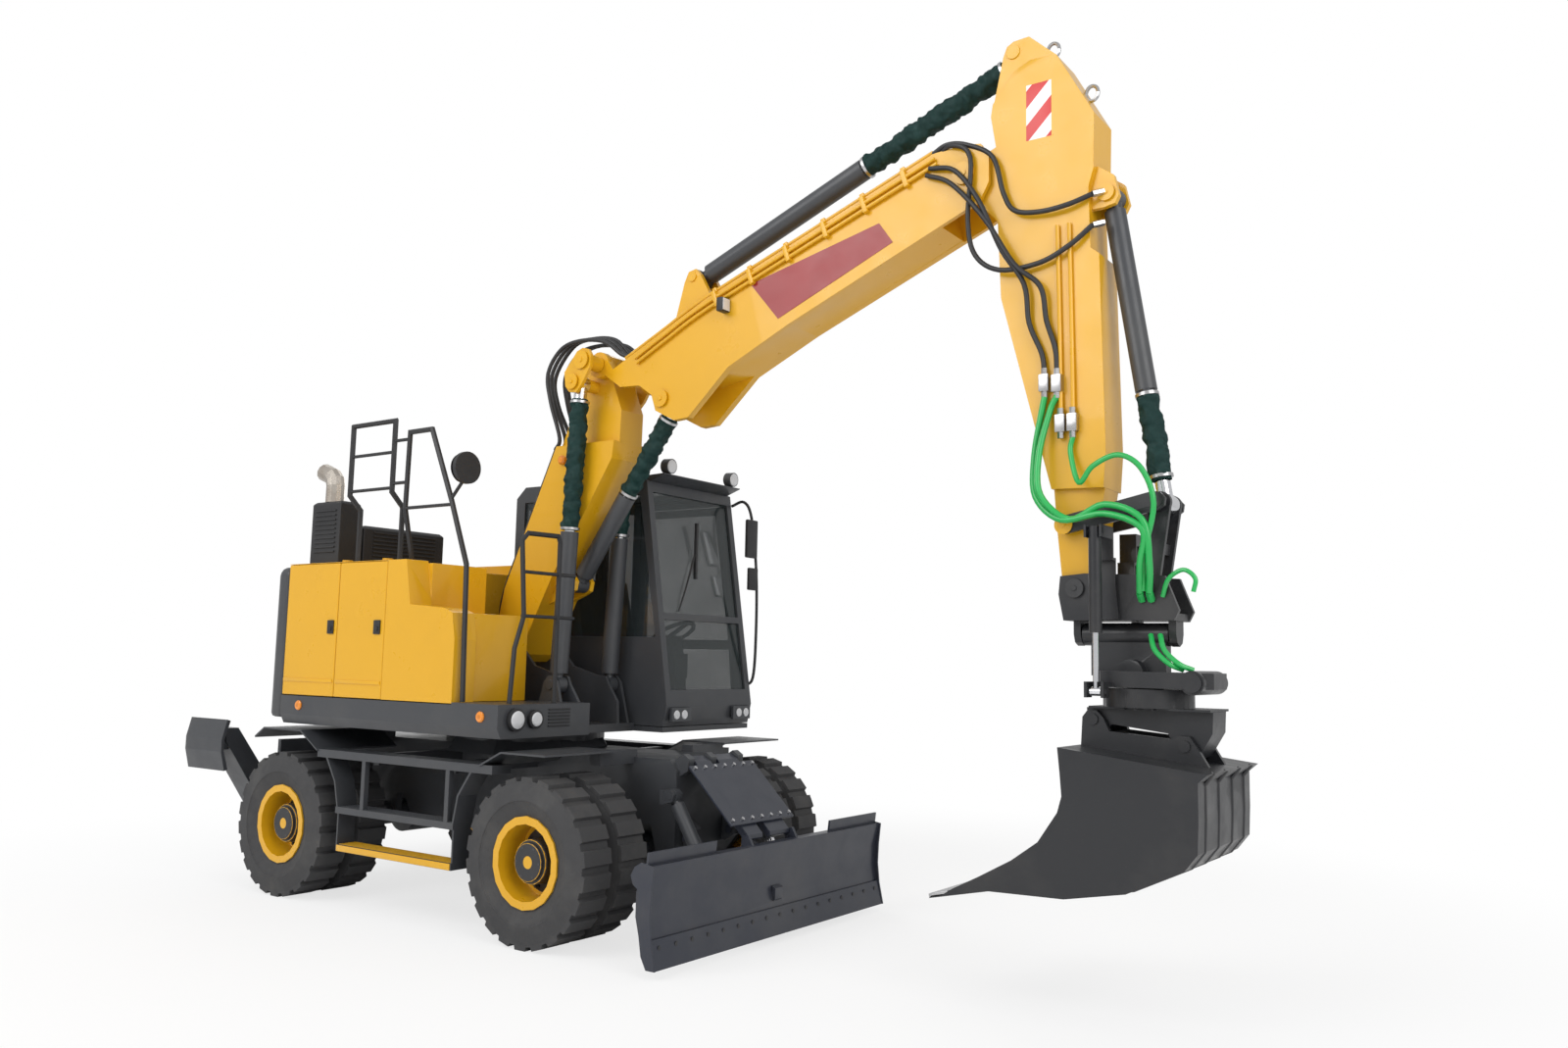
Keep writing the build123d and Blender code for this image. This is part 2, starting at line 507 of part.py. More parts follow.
# Handrails over the walkway, the front rail of the deck and the round mirrors
with BuildPart() as handrails:
    mitred_tube([(-2054, -1100, BODY_TOP + 1), (-2054, -1100, 2850), (-2054, -1200, 2950), (-2054, -1200, 3470),
                 (-1565, -1200, 3470), (-1565, -1200, 2950), (-1565, -1100, 2850), (-1565, -1100, BODY_TOP + 1)], 19)
    mitred_tube([(-1429, -1100, BODY_TOP + 10), (-1404, -1200, 2823), (-1393, -1200, 3369), (-1153, -1200, 3370),
                 (-910, -1200, 2851), (-726, -1200, 2405), (-699, -1200, DECK_TOP + 4)], 19)
    mitred_tube([(-340, -1117, DECK_TOP + 4), (-340, -1092, 1849), (-340, -1023, 2061), (-340, -1064, 2565),
                 (-340, -1013, 2618), (-340, -735, 2622), (-340, -716, 2582), (-340, -716, DECK_TOP + 1)], 17)
    for z in (2358, 2064):
        bar((-340, -1040, z), (-340, -560, z), 12)
    for z in (2980, 3240):
        bar((-2054, -1200, z), (-1565, -1200, z), 12)
    for z in (3010, 3320):
        bar((-1565, -1200, z), (-1398, -1200, z), 12)
    bar((-1404, -1200, 2823), (-890, -1200, 2823), 12)
    bar((-735, -1170, 3060), (-735, -1230, 3060), 4)
    with BuildSketch(Plane(origin=(-752, -1228, 3060), x_dir=(0, 1, 0), z_dir=(-1, 0, 0))) as right_mirror:
        Circle(110)
    extrude(right_mirror.sketch, amount=-30)
    bar((-744, -1228, 3000), (-890, -1212, 2870), 12)

# Cab: a hollow shell with window openings and a raked front
def raked(z, depth):
    """Return the (x, z) point at a height, a depth inside the cab's raked front face."""
    return (CAB_FRONT_X - 0.1569 * (z - 1457) - depth * 1.012, z)


with BuildPart() as cab_shell:
    side_plate([(CAB_REAR_X, CAB_BOTTOM), (-150, CAB_BOTTOM), (CAB_FRONT_X, 1457), (-382, 3140), (-440, CAB_TOP),
                (-1700, CAB_TOP), (CAB_REAR_X, 3080)], CAB_RIGHT_Y, SIDE_Y)
    side_plate([(CAB_REAR_X + 45, CAB_BOTTOM + 45), (-185, CAB_BOTTOM + 45), raked(1457, 45), raked(3100, 45),
                (-450, 3125), (-1690, 3125), (CAB_REAR_X + 45, 3060)], CAB_RIGHT_Y + 45, SIDE_Y - 45, Mode.SUBTRACT)
    for low, high in ((1570, 2090), (2140, 3060)):
        side_plate([raked(low, -10), raked(high, -10), raked(high, 60), raked(low, 60)], CAB_RIGHT_Y + 60,
                   SIDE_Y - 60, Mode.SUBTRACT)
    side_plate([(-1700, 1960), (-250, 1960), raked(3040, 80), (-1700, 3040)], CAB_RIGHT_Y - 1, CAB_RIGHT_Y + 50,
               Mode.SUBTRACT)
    side_plate([(-1320, 1400), (-215, 1400), raked(1460, 85), raked(3060, 85), (-1320, 3060)], SIDE_Y - 50,
               SIDE_Y + 1, Mode.SUBTRACT)
    side_plate([(-1720, 1960), (-1400, 1960), (-1400, 3040), (-1720, 3040)], SIDE_Y - 50, SIDE_Y + 1, Mode.SUBTRACT)
    block((CAB_REAR_X - 1, CAB_REAR_X + 50), (CAB_RIGHT_Y + 80, SIDE_Y - 80), (2100, 3000), Mode.SUBTRACT)
    block((-1400, -620), (CAB_RIGHT_Y + 160, SIDE_Y - 160), (3120, CAB_TOP + 1), Mode.SUBTRACT)
    side_plate([(-382, 3142), (-250, 3190), (-252, 3196), (-600, CAB_TOP + 12), (-600, CAB_TOP)], CAB_RIGHT_Y + 40,
               SIDE_Y - 40)
    for side_y in (340, 1120):
        block((-330, -270), (side_y - 8, side_y + 8), (3185, 3215))
        bar((-320, side_y, 3262), (-250, side_y, 3258), 58)
    block((-122, -96), (CAB_RIGHT_Y + 40, CAB_RIGHT_Y + 260), (1340, 1440))
    block((-122, -96), (SIDE_Y - 260, SIDE_Y - 40), (1340, 1440))
with BuildPart() as cab_glass:
    for low, high in ((1571, 2089), (2141, 3059)):
        side_plate([raked(low, 16), raked(high, 16), raked(high, 24), raked(low, 24)], CAB_RIGHT_Y + 61, SIDE_Y - 61)
    side_plate([(-1699, 1961), (-252, 1961), raked(3039, 81), (-1699, 3039)], CAB_RIGHT_Y + 16, CAB_RIGHT_Y + 24)
    side_plate([(-1719, 1961), (-1401, 1961), (-1401, 3039), (-1719, 3039)], SIDE_Y - 24, SIDE_Y - 16)
    block((CAB_REAR_X + 16, CAB_REAR_X + 24), (CAB_RIGHT_Y + 81, SIDE_Y - 81), (2101, 2999))
    block((-1399, -621), (CAB_RIGHT_Y + 161, SIDE_Y - 161), (3140, 3148))
with BuildPart() as cab_door:
    side_plate([(-1314, 1406), (-219, 1406), raked(1466, 91), raked(3054, 91), (-1314, 3054)], SIDE_Y - 36, SIDE_Y + 4)
    side_plate([(-1250, 1960), (-340, 1960), raked(2990, 150), (-1250, 2990)], SIDE_Y - 40, SIDE_Y + 5, Mode.SUBTRACT)
    side_plate([(-1250, 1480), (-290, 1480), (-330, 1880), (-1250, 1880)], SIDE_Y - 40, SIDE_Y + 5, Mode.SUBTRACT)
    bar((-1180, SIDE_Y + 4, 1925), (-1180, SIDE_Y + 30, 1925), 16)
with BuildPart() as cab_door_glass:
    side_plate([(-1249, 1961), (-341, 1961), raked(2989, 151), (-1249, 2989)], SIDE_Y - 20, SIDE_Y - 12)
    side_plate([(-1249, 1481), (-291, 1481), (-331, 1879), (-1249, 1879)], SIDE_Y - 20, SIDE_Y - 12)
with BuildPart() as seat_console:
    block((-1180, -720), (510, 910), (CAB_BOTTOM + 46, 1640))
    side_plate([(-1200, 1640), (-640, 1640), (-620, 1760), (-1080, 1780), (-1240, 2420), (-1340, 2400)], 480, 960)
    for y in (400, 970):
        block((-1150, -620), (y, y + 72), (1640, 1840))
        bar((-680, y + 36, 1838), (-670, y + 36, 1960), 16)
    side_plate([(-500, CAB_BOTTOM + 46), (-380, CAB_BOTTOM + 46), (-470, 1980), (-540, 1980)], 660, 780)
    with BuildSketch(Plane(origin=(-505, 720, 1984), z_dir=(-0.5, 0, 0.87))) as wheel_rim:
        RegularPolygon(190, 12)
        RegularPolygon(165, 12, mode=Mode.SUBTRACT)
        Rectangle(350, 30)
    extrude(wheel_rim.sketch, amount=24)


def arm_plates(points, inner, outer, mode=Mode.ADD):
    """Add a pair of plates either side of the arm's plane, inner and outer being distances from it."""
    for side in (-1, 1):
        low, high = sorted((BOOM_Y + side * inner, BOOM_Y + side * outer))
        side_plate(points, low, high, mode)


def arm_stubs(point, inner, outer, radius):
    """Add a pair of round stubs either side of the arm's plane."""
    for side in (-1, 1):
        low, high = sorted((BOOM_Y + side * inner, BOOM_Y + side * outer))
        cross_bar(point, low, high, radius)


def cylinder_barrel(base, eye, y, radius, bore, start, length, eye_half, eye_radius, pin):
    """Add a cylinder's barrel: an eye on its base pin, a neck and the bored tube."""
    near = along(base, eye, start)
    inside = along(base, eye, start + 20)
    far = along(base, eye, length)
    cross_bar(base, y - eye_half, y + eye_half, eye_radius)
    bar((base[0], y, base[1]), (near[0], y, near[1]), min(eye_half, eye_radius) * 0.8)
    bar((near[0], y, near[1]), (far[0], y, far[1]), radius)
    bar((inside[0], y, inside[1]), (far[0], y, far[1]), bore, mode=Mode.SUBTRACT)
    cross_bar(base, y - eye_half, y + eye_half, pin, mode=Mode.SUBTRACT)


def cylinder_rod(base, eye, y, radius, length, eye_half, eye_radius):
    """Add a cylinder's rod of a length, back from the eye at its end."""
    inner = along(base, eye, span(base, eye) - length)
    bar((inner[0], y, inner[1]), (eye[0], y, eye[1]), radius)
    cross_bar(eye, y - eye_half, y + eye_half, eye_radius)


def rod_sleeve(base, eye, y, barrel_end, eye_gap, outer, inner):
    """Add the cloth sleeve that hangs from a collar near the rod's eye down to the barrel's end."""
    near = along(base, eye, barrel_end + 12)
    collar = along(base, eye, span(base, eye) - eye_gap - SLEEVE_COLLAR)
    far = along(base, eye, span(base, eye) - eye_gap)
    bar((near[0], y, near[1]), (collar[0], y, collar[1]), outer, inner)
    bar((collar[0], y, collar[1]), (far[0], y, far[1]), outer)


# Lower boom with its elbow pin, the lift rods' pin and lugs, and the adjusting cylinder's ears
with BuildPart() as lower_boom:
    arm_low, arm_high = BOOM_Y - BOOM_HALF_WIDTH, BOOM_Y + BOOM_HALF_WIDTH
    side_plate([(-1275, 1830), (-1335, 2100), (-1290, 2300), (-1020, 2880), (-800, 3350), (-222, 3350), (-238, 3220),
                (-465, 2870), (-780, 2400), (-900, 2180), (-1095, 1810), (-1180, 1755), (-1250, 1785)],
               arm_low, arm_high)
    side_plate([(-810, 3340), (-680, 3640), (-600, 3890), (-470, 4000), (-400, 4018), (-320, 3980), (-300, 3780),
                (-217, 3580), (-222, 3340)], BOOM_Y - 118, BOOM_Y + 118)
    cross_bar(ELBOW, BOOM_Y - 360, BOOM_Y + 360, 45)
    arm_stubs(ELBOW, 186, 322, 58)
    arm_plates([(-318, 3955), (-345, 3995), (-400, 4010), (-455, 3990), (-575, 3850), (-560, 3745), (-520, 3700),
                (-450, 3690), (-400, 3740), (-320, 3870)], 322, 350)
    arm_stubs(LIFT_EYE, 110, 214, 48)
    arm_stubs(LIFT_EYE, 312, 362, 42)
    arm_plates([(-900, 2180), (-700, 2255), (-640, 2285), (-625, 2350), (-665, 2400), (-740, 2470), (-800, 2500)],
               62, 100)
    cross_bar(ADJUST_BASE, BOOM_Y - 112, BOOM_Y + 112, 34)
    cross_bar(FOOT, arm_low, arm_high, 45 + RUNNING_FIT, mode=Mode.SUBTRACT)

# Upper boom: side plates forming the fork and the ears, around the box
with BuildPart() as upper_boom:
    arm_plates([(-498, 3925), (-470, 3985), (-420, 4014), (-360, 4006), (-300, 3930), (-259, 3869), (582, 4259),
                (2335, 4896), (2560, 4902), (2653, 4886), (2706, 4800), (2706, 4640), (2654, 4545), (2540, 4491),
                (1279, 3982), (793, 3758), (458, 3448), (330, 3440), (161, 3524), (120, 3640), (0, 3722),
                (-179, 3731), (-330, 3832), (-400, 3820), (-470, 3850)], 125, BOOM_HALF_WIDTH)
    side_plate([(-185, 3903), (582, 4259), (2270, 4872), (2385, 4430), (1279, 3982), (793, 3758), (520, 3700),
                (420, 3724), (300, 3730), (120, 3742), (-47, 3763), (-185, 3855)], BOOM_Y - 125, BOOM_Y + 125)
    side_plate([(2260, 4950), (2260, 4880), (2385, 4430), (2385, 4380), (2800, 4380), (2800, 4950)], BOOM_Y - 148,
               BOOM_Y + 148, Mode.SUBTRACT)
    arm_stubs(ADJUST_EYE, 60, 192, 48)
    arm_plates([(230, 4080), (330, 4440), (365, 4510), (430, 4522), (468, 4480), (600, 4250)], 66, 104)
    cross_bar(STICK_CYL_BASE, BOOM_Y - 114, BOOM_Y + 114, 36)
    cross_bar(NOSE, BOOM_Y - 192, BOOM_Y + 192, 45)
    arm_stubs(ELBOW, 125, BOOM_HALF_WIDTH, 94)
    cross_bar(ELBOW, BOOM_Y - 181, BOOM_Y + 181, 45 + RUNNING_FIT, mode=Mode.SUBTRACT)

# Stick: box, ears at its top for the rod, ears in front for the bucket cylinder
with BuildPart() as stick:
    side_plate([(2700, 5055), (2712, 5130), (2800, 5240), (2850, 5300), (2950, 5345), (3113, 5334), (3337, 4927),
                (3330, 4600), (3300, 4500), (3310, 4140), (3359, 4100), (3387, 2990), (3372, 2780), (3072, 2788),
                (2766, 3934), (2745, 4400), (2545, 4625), (2475, 4655), (2445, 4725), (2475, 4795), (2545, 4825),
                (2640, 4822), (2733, 4860)], BOOM_Y - STICK_HALF_WIDTH, BOOM_Y + STICK_HALF_WIDTH)
    side_plate([(3074, 2800), (3373, 2800), (3330, 2560), (3290, 2260), (3262, 2190), (3208, 2165), (3155, 2190),
                (3122, 2260), (3092, 2560)], BOOM_Y - 105, BOOM_Y + 105)
    arm_plates([(2720, 5150), (2776, 5410), (2800, 5470), (2842, 5492), (2940, 5497), (3113, 5334), (3000, 5200)],
               92, 132)
    arm_stubs(STICK_CYL_EYE, 86, 140, 42)
    arm_plates([(3250, 4620), (3340, 4620), (3435, 4550), (3463, 4430), (3440, 4385), (3380, 4372), (3290, 4372)],
               66, 104)
    cross_bar(BUCKET_CYL_BASE, BOOM_Y - 114, BOOM_Y + 114, 34)
    for point, bore in ((NOSE, 45), (ROCKER_PIN, 36), (STICK_TIP, 36)):
        cross_bar(point, BOOM_Y - 141, BOOM_Y + 141, bore + RUNNING_FIT, mode=Mode.SUBTRACT)

# Rockers and link between the bucket cylinder and the quick hitch
with BuildPart() as rocker:
    arm_plates([(3110, 2560), (3135, 2535), (3165, 2530), (3680, 2636), (3712, 2660), (3718, 2700), (3690, 2732),
                (3650, 2738), (3150, 2630), (3115, 2605)], 147, 172)
    cross_bar(ROCKER_PIN, BOOM_Y - 176, BOOM_Y + 176, 36)
    arm_stubs(ROCKER_EYE, 76, 176, 34)
with BuildPart() as bucket_link:
    arm_plates([(3615, 2690), (3628, 2725), (3669, 2744), (3710, 2725), (3724, 2685), (3652, 2220), (3630, 2182),
                (3596, 2170), (3558, 2184), (3542, 2226)], 74, 104)
    side_plate([(3610, 2420), (3660, 2412), (3668, 2470), (3620, 2478)], BOOM_Y - 76, BOOM_Y + 76)
    arm_stubs(ROCKER_EYE, 73, 105, 56)
    cross_bar(ROCKER_EYE, BOOM_Y - 106, BOOM_Y + 106, 34 + RUNNING_FIT, mode=Mode.SUBTRACT)

# Tiltrotator: head on the stick, tilting frame below it, and the turning hitch
with BuildPart() as tilt_head:
    arm_plates([(3122, 2300), (3260, 2312), (3540, 2300), (3700, 2290), (3772, 2109), (3745, 2056), (3140, 2056),
                (3112, 2200)], 112, 142)
    block((3140, 3745), (BOOM_Y - 142, BOOM_Y + 142), (2056, 2096))
    cross_bar(STICK_TIP, BOOM_Y - 152, BOOM_Y + 152, 36)
    arm_stubs(LINK_PIN, 109, 152, 36)
    for low, high in ((3168, 3208), (3692, 3732)):
        cross_plate([(BOOM_Y - 64, 2060), (BOOM_Y - 64, 1985), (BOOM_Y - 45, 1940), (BOOM_Y, 1921),
                     (BOOM_Y + 45, 1940), (BOOM_Y + 64, 1985), (BOOM_Y + 64, 2060)], low, high)
    bar((3168, BOOM_Y, TILT_AXIS_Z), (3732, BOOM_Y, TILT_AXIS_Z), 32)
    arm_plates([(3330, 2070), (3345, 2250), (3345, 2390), (3441, 2390), (3441, 2250), (3456, 2070)], 146, 160)
    arm_plates([(3345, 2376), (3345, 2390), (3441, 2390), (3441, 2376)], 150, 196)
    arm_plates([(3345, 2376), (3345, 2552), (3441, 2552), (3441, 2376)], 182, 196)
    for side in (-1, 1):
        low, high = sorted((BOOM_Y + side * 141, BOOM_Y + side * 160))
        block((3330, 3456), (low, high), (2060, 2092))
        for x in (3345, 3429):
            low, high = sorted((BOOM_Y + side * 195, BOOM_Y + side * (TILT_CYL_SPREAD + 37)))
            block((x, x + 12), (low, high), (2486, 2552))
            bar((x - 1, BOOM_Y + side * TILT_CYL_SPREAD, TILT_CYL_TOP),
                (x + 13, BOOM_Y + side * TILT_CYL_SPREAD, TILT_CYL_TOP), 16 + RUNNING_FIT, mode=Mode.SUBTRACT)
tilt_cylinders = {}
for name, side in SIDES.items():
    y = BOOM_Y + side * TILT_CYL_SPREAD
    with BuildPart() as tilt_barrel:
        bar((TILT_CYL_X - 50, y, TILT_CYL_TOP), (TILT_CYL_X + 50, y, TILT_CYL_TOP), 16)
        bar((TILT_CYL_X, y, TILT_CYL_TOP + 24), (TILT_CYL_X, y, 1985), 34)
        bar((TILT_CYL_X, y, 1984), (TILT_CYL_X, y, TILT_CYL_TOP - 60), 16.05, mode=Mode.SUBTRACT)
    with BuildPart() as tilt_rod:
        bar((TILT_CYL_X, y, TILT_CYL_FOOT), (TILT_CYL_X, y, TILT_CYL_FOOT + 541), 16)
        bar((TILT_CYL_X - 28, y, TILT_CYL_FOOT), (TILT_CYL_X + 28, y, TILT_CYL_FOOT), 22)
    tilt_cylinders[name] = (tilt_barrel, tilt_rod)
with BuildPart() as tilt_frame:
    bar((3214, BOOM_Y, TILT_AXIS_Z), (3686, BOOM_Y, TILT_AXIS_Z), 62)
    block((3260, 3670), (BOOM_Y - 44, BOOM_Y + 44), (1760, 1985))
    flat_plate([(3300, BOOM_Y - 120), (3380, BOOM_Y - 230), (3860, BOOM_Y - 230), (3937, BOOM_Y - 120),
                (3937, BOOM_Y + 120), (3860, BOOM_Y + 230), (3380, BOOM_Y + 230), (3300, BOOM_Y + 120)], 1702, 1786)
    cross_bar((3500, 1780), BOOM_Y - 120, BOOM_Y + 120, 70)
    for side in (-1, 1):
        for x in (3340, 3430):
            block((x, x + 16), sorted((BOOM_Y + side * 200, BOOM_Y + side * (TILT_CYL_SPREAD + 37))), (1702, 1730))
            block((x, x + 16), sorted((BOOM_Y + side * (TILT_CYL_SPREAD - 39), BOOM_Y + side * (TILT_CYL_SPREAD + 37))),
                  (1648, 1703))
            bar((x - 6, BOOM_Y + side * TILT_CYL_SPREAD, TILT_CYL_FOOT),
                (x + 22, BOOM_Y + side * TILT_CYL_SPREAD, TILT_CYL_FOOT), 20)
    bar((3214, BOOM_Y, TILT_AXIS_Z), (3686, BOOM_Y, TILT_AXIS_Z), 32 + RUNNING_FIT, mode=Mode.SUBTRACT)
    bar((ROTOR_X, BOOM_Y, 1701), (ROTOR_X, BOOM_Y, 1752), 80 + RUNNING_FIT, mode=Mode.SUBTRACT)
with BuildPart() as rotor_hitch:
    bar((ROTOR_X, BOOM_Y, 1598), (ROTOR_X, BOOM_Y, 1696), 236)
    bar((ROTOR_X, BOOM_Y, 1696), (ROTOR_X, BOOM_Y, 1750), 80)
    block((3290, 3930), (BOOM_Y - 170, BOOM_Y + 170), (1588, 1600))
    side_plate([(3262, 1590), (3930, 1590), (3925, 1480), (3850, 1350), (3740, 1352), (3700, 1470), (3400, 1505),
                (3360, 1460), (3270, 1462)], BOOM_Y - 120, BOOM_Y + 120)
    for point in (HITCH_FRONT_PIN, HITCH_REAR_PIN):
        cross_bar(point, BOOM_Y - 121, BOOM_Y + 121, 31, mode=Mode.SUBTRACT)

# Bucket: one bent shell closed by side plates, with a cutting edge and hitch ears
with BuildPart() as bucket:
    low, high = BOOM_Y - BUCKET_HALF_WIDTH, BOOM_Y + BUCKET_HALF_WIDTH
    side_plate([(3238, 1391), (3998, 1303), (3951, 1261), (3951, 1076), (3945, 922), (3881, 839), (3591, 696),
                (3269, 632), (2853, 621), (2500, 542), (2516, 558), (2858, 640), (3266, 651), (3584, 714),
                (3868, 854), (3926, 930), (3932, 1076), (3932, 1250), (3918, 1290), (3240, 1372)], low + 2, high - 2)
    for side in (-1, 1):
        y_low, y_high = sorted((BOOM_Y + side * (BUCKET_HALF_WIDTH - 18), BOOM_Y + side * BUCKET_HALF_WIDTH))
        side_plate([(2642, 609), (2796, 690), (2983, 795), (3129, 902), (3236, 1060), (3260, 1144), (3251, 1259),
                    (3238, 1391), (3998, 1303), (3951, 1261), (3951, 1076), (3945, 922), (3881, 839), (3591, 696),
                    (3269, 632), (2853, 621), (2560, 556)], y_low, y_high)
    arm_plates([(3242, 1372), (3252, 1540), (3280, 1576), (3330, 1576), (3366, 1540), (3400, 1470), (3720, 1445),
                (3765, 1462), (3820, 1462), (3850, 1420), (3925, 1296)], 128, 160)
    for point in (HITCH_FRONT_PIN, HITCH_REAR_PIN):
        cross_bar(point, BOOM_Y - 170, BOOM_Y + 170, 30)

# Cylinders of the arm, each rod under its sleeve
with BuildPart() as lift_barrels:
    for side in (-1, 1):
        cylinder_barrel(LIFT_BASE, LIFT_EYE, BOOM_Y + side * LIFT_SPREAD, 65, 38 + RUNNING_FIT, 85, LIFT_BARREL_END,
                        40, 60, 34 + RUNNING_FIT)
with BuildPart() as lift_rods:
    for side in (-1, 1):
        cylinder_rod(LIFT_BASE, LIFT_EYE, BOOM_Y + side * LIFT_SPREAD, 38, 1581, 40, 56)
        rod_sleeve(LIFT_BASE, LIFT_EYE, BOOM_Y + side * LIFT_SPREAD, LIFT_BARREL_END, 115, 76, 68)
with BuildPart() as adjust_barrel:
    cylinder_barrel(ADJUST_BASE, ADJUST_EYE, BOOM_Y, 66, 38 + RUNNING_FIT, 84, ADJUST_BARREL_END, 55, 60,
                    34 + RUNNING_FIT)
with BuildPart() as adjust_rod:
    cylinder_rod(ADJUST_BASE, ADJUST_EYE, BOOM_Y, 38, 1035, 50, 58)
    rod_sleeve(ADJUST_BASE, ADJUST_EYE, BOOM_Y, ADJUST_BARREL_END, 120, 77, 69)
with BuildPart() as stick_barrel:
    cylinder_barrel(STICK_CYL_BASE, STICK_CYL_EYE, BOOM_Y, 70, 36 + RUNNING_FIT, 90, STICK_BARREL_END, 58, 62,
                    36 + RUNNING_FIT)
with BuildPart() as stick_rod:
    cylinder_rod(STICK_CYL_BASE, STICK_CYL_EYE, BOOM_Y, 36, 1587, 80, 58)
    rod_sleeve(STICK_CYL_BASE, STICK_CYL_EYE, BOOM_Y, STICK_BARREL_END, 100, 82, 74)
with BuildPart() as bucket_barrel:
    cylinder_barrel(BUCKET_CYL_BASE, ROCKER_EYE, BOOM_Y, 60, 34 + RUNNING_FIT, 84, BUCKET_BARREL_END, 56, 60,
                    34 + RUNNING_FIT)
with BuildPart() as bucket_rod:
    cylinder_rod(BUCKET_CYL_BASE, ROCKER_EYE, BOOM_Y, 34, BUCKET_ROD_LENGTH, 66, 54)
    rod_sleeve(BUCKET_CYL_BASE, ROCKER_EYE, BOOM_Y, BUCKET_BARREL_END, 130, 70, 63)

for part, name in (
    (chassis_frame, "chassis_frame"), (axles, "axles"), (knuckles["left"], "knuckle_left"), (knuckles["right"], "knuckle_right"),
    (tyres["front_left"], "tyres_front_left"), (tyres["front_right"], "tyres_front_right"),
    (tyres["rear_left"], "tyres_rear_left"), (tyres["rear_right"], "tyres_rear_right"),
    (rims["front_left"], "rims_front_left"), (rims["front_right"], "rims_front_right"),
    (rims["rear_left"], "rims_rear_left"), (rims["rear_right"], "rims_rear_right"),
    (steps_fenders, "steps_fenders"), (blade, "blade"), (blade_arms, "blade_arms"), (blade_cover, "blade_cover"),
    (blade_barrels, "blade_barrels"), (blade_rods, "blade_rods"), (outriggers["left"], "outrigger_left"),
    (outriggers["right"], "outrigger_right"), (revolving_frame, "revolving_frame"),
    (counterweight, "counterweight"), (body_panels, "body_panels"), (door_right_rear, "door_right_rear"),
    (door_right_middle, "door_right_middle"), (door_left, "door_left"), (engine_hood, "engine_hood"),
    (engine_block, "engine_block"), (muffler_cover, "muffler_cover"), (exhaust_pipe, "exhaust_pipe"),
    (handrails, "handrails"), (cab_shell, "cab_shell"), (cab_glass, "cab_glass"),
    (cab_door, "cab_door"), (cab_door_glass, "cab_door_glass"), (seat_console, "seat_console"),
    (lower_boom, "lower_boom"), (upper_boom, "upper_boom"), (stick, "stick"), (rocker, "rocker"),
    (bucket_link, "bucket_link"), (tilt_head, "tilt_head"), (tilt_frame, "tilt_frame"),
    (tilt_cylinders["left"][0], "tilt_barrel_left"), (tilt_cylinders["right"][0], "tilt_barrel_right"),
    (tilt_cylinders["left"][1], "tilt_rod_left"), (tilt_cylinders["right"][1], "tilt_rod_right"),
    (rotor_hitch, "rotor_hitch"), (bucket, "bucket"), (lift_barrels, "lift_barrels"), (lift_rods, "lift_rods"),
    (adjust_barrel, "adjust_barrel"), (adjust_rod, "adjust_rod"),
    (stick_barrel, "stick_barrel"), (stick_rod, "stick_rod"), (bucket_barrel, "bucket_barrel"),
    (bucket_rod, "bucket_rod"),
):
    part.part.label = name
    export_step(part.part, f"parts/{name}.step")
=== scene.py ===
"""Dresses the wheeled excavator: finishes, sleeves, hoses, tyres, lamps, louvres and small hardware.

Metres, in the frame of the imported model: X forward, Y to the left, Z up, and the origin on the
ground under the centre of the front axle.
"""

import json
import logging
import math
from dataclasses import dataclass, field
from enum import Enum
from typing import Sequence

import bmesh
import bpy
from mathutils import Matrix, Vector, noise

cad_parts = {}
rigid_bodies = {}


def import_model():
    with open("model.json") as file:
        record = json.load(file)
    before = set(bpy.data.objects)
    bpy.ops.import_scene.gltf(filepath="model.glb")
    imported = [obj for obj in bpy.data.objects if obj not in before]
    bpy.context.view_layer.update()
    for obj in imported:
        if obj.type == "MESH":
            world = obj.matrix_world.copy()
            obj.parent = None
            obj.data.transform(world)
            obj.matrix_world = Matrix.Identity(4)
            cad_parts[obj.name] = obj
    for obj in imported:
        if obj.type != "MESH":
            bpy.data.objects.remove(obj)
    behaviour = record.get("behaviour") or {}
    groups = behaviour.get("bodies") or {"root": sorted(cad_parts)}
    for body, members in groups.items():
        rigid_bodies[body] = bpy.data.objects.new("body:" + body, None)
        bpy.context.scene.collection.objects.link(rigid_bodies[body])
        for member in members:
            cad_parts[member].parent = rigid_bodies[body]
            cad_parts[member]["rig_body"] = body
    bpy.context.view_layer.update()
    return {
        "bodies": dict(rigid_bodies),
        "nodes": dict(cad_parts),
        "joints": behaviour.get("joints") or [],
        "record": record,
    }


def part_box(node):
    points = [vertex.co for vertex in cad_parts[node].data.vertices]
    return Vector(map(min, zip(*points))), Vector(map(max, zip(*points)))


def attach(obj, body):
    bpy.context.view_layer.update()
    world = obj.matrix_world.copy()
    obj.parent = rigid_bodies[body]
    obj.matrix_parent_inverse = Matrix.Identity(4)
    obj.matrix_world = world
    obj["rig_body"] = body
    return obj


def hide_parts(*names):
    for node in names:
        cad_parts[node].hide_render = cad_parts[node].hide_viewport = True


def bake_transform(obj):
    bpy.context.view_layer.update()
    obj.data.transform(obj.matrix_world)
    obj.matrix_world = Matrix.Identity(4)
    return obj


LOG = logging.getLogger("excavator")
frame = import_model()

Point = tuple[float, float, float]
Colour = tuple[float, float, float]

BOOM_Y = -0.165
BOOM_HALF = 0.18
TYRE_RADIUS = 0.525
OUTER_TYRE_Y = 1.136
WHEELBASE = 2.6


class Grain(Enum):
    """The kinds of relief that a finish can have."""

    ORANGE_PEEL = "orange peel"
    MOULDED = "moulded grain"
    CAST = "rough casting"
    WOVEN = "woven cloth"
    NONE = "none"


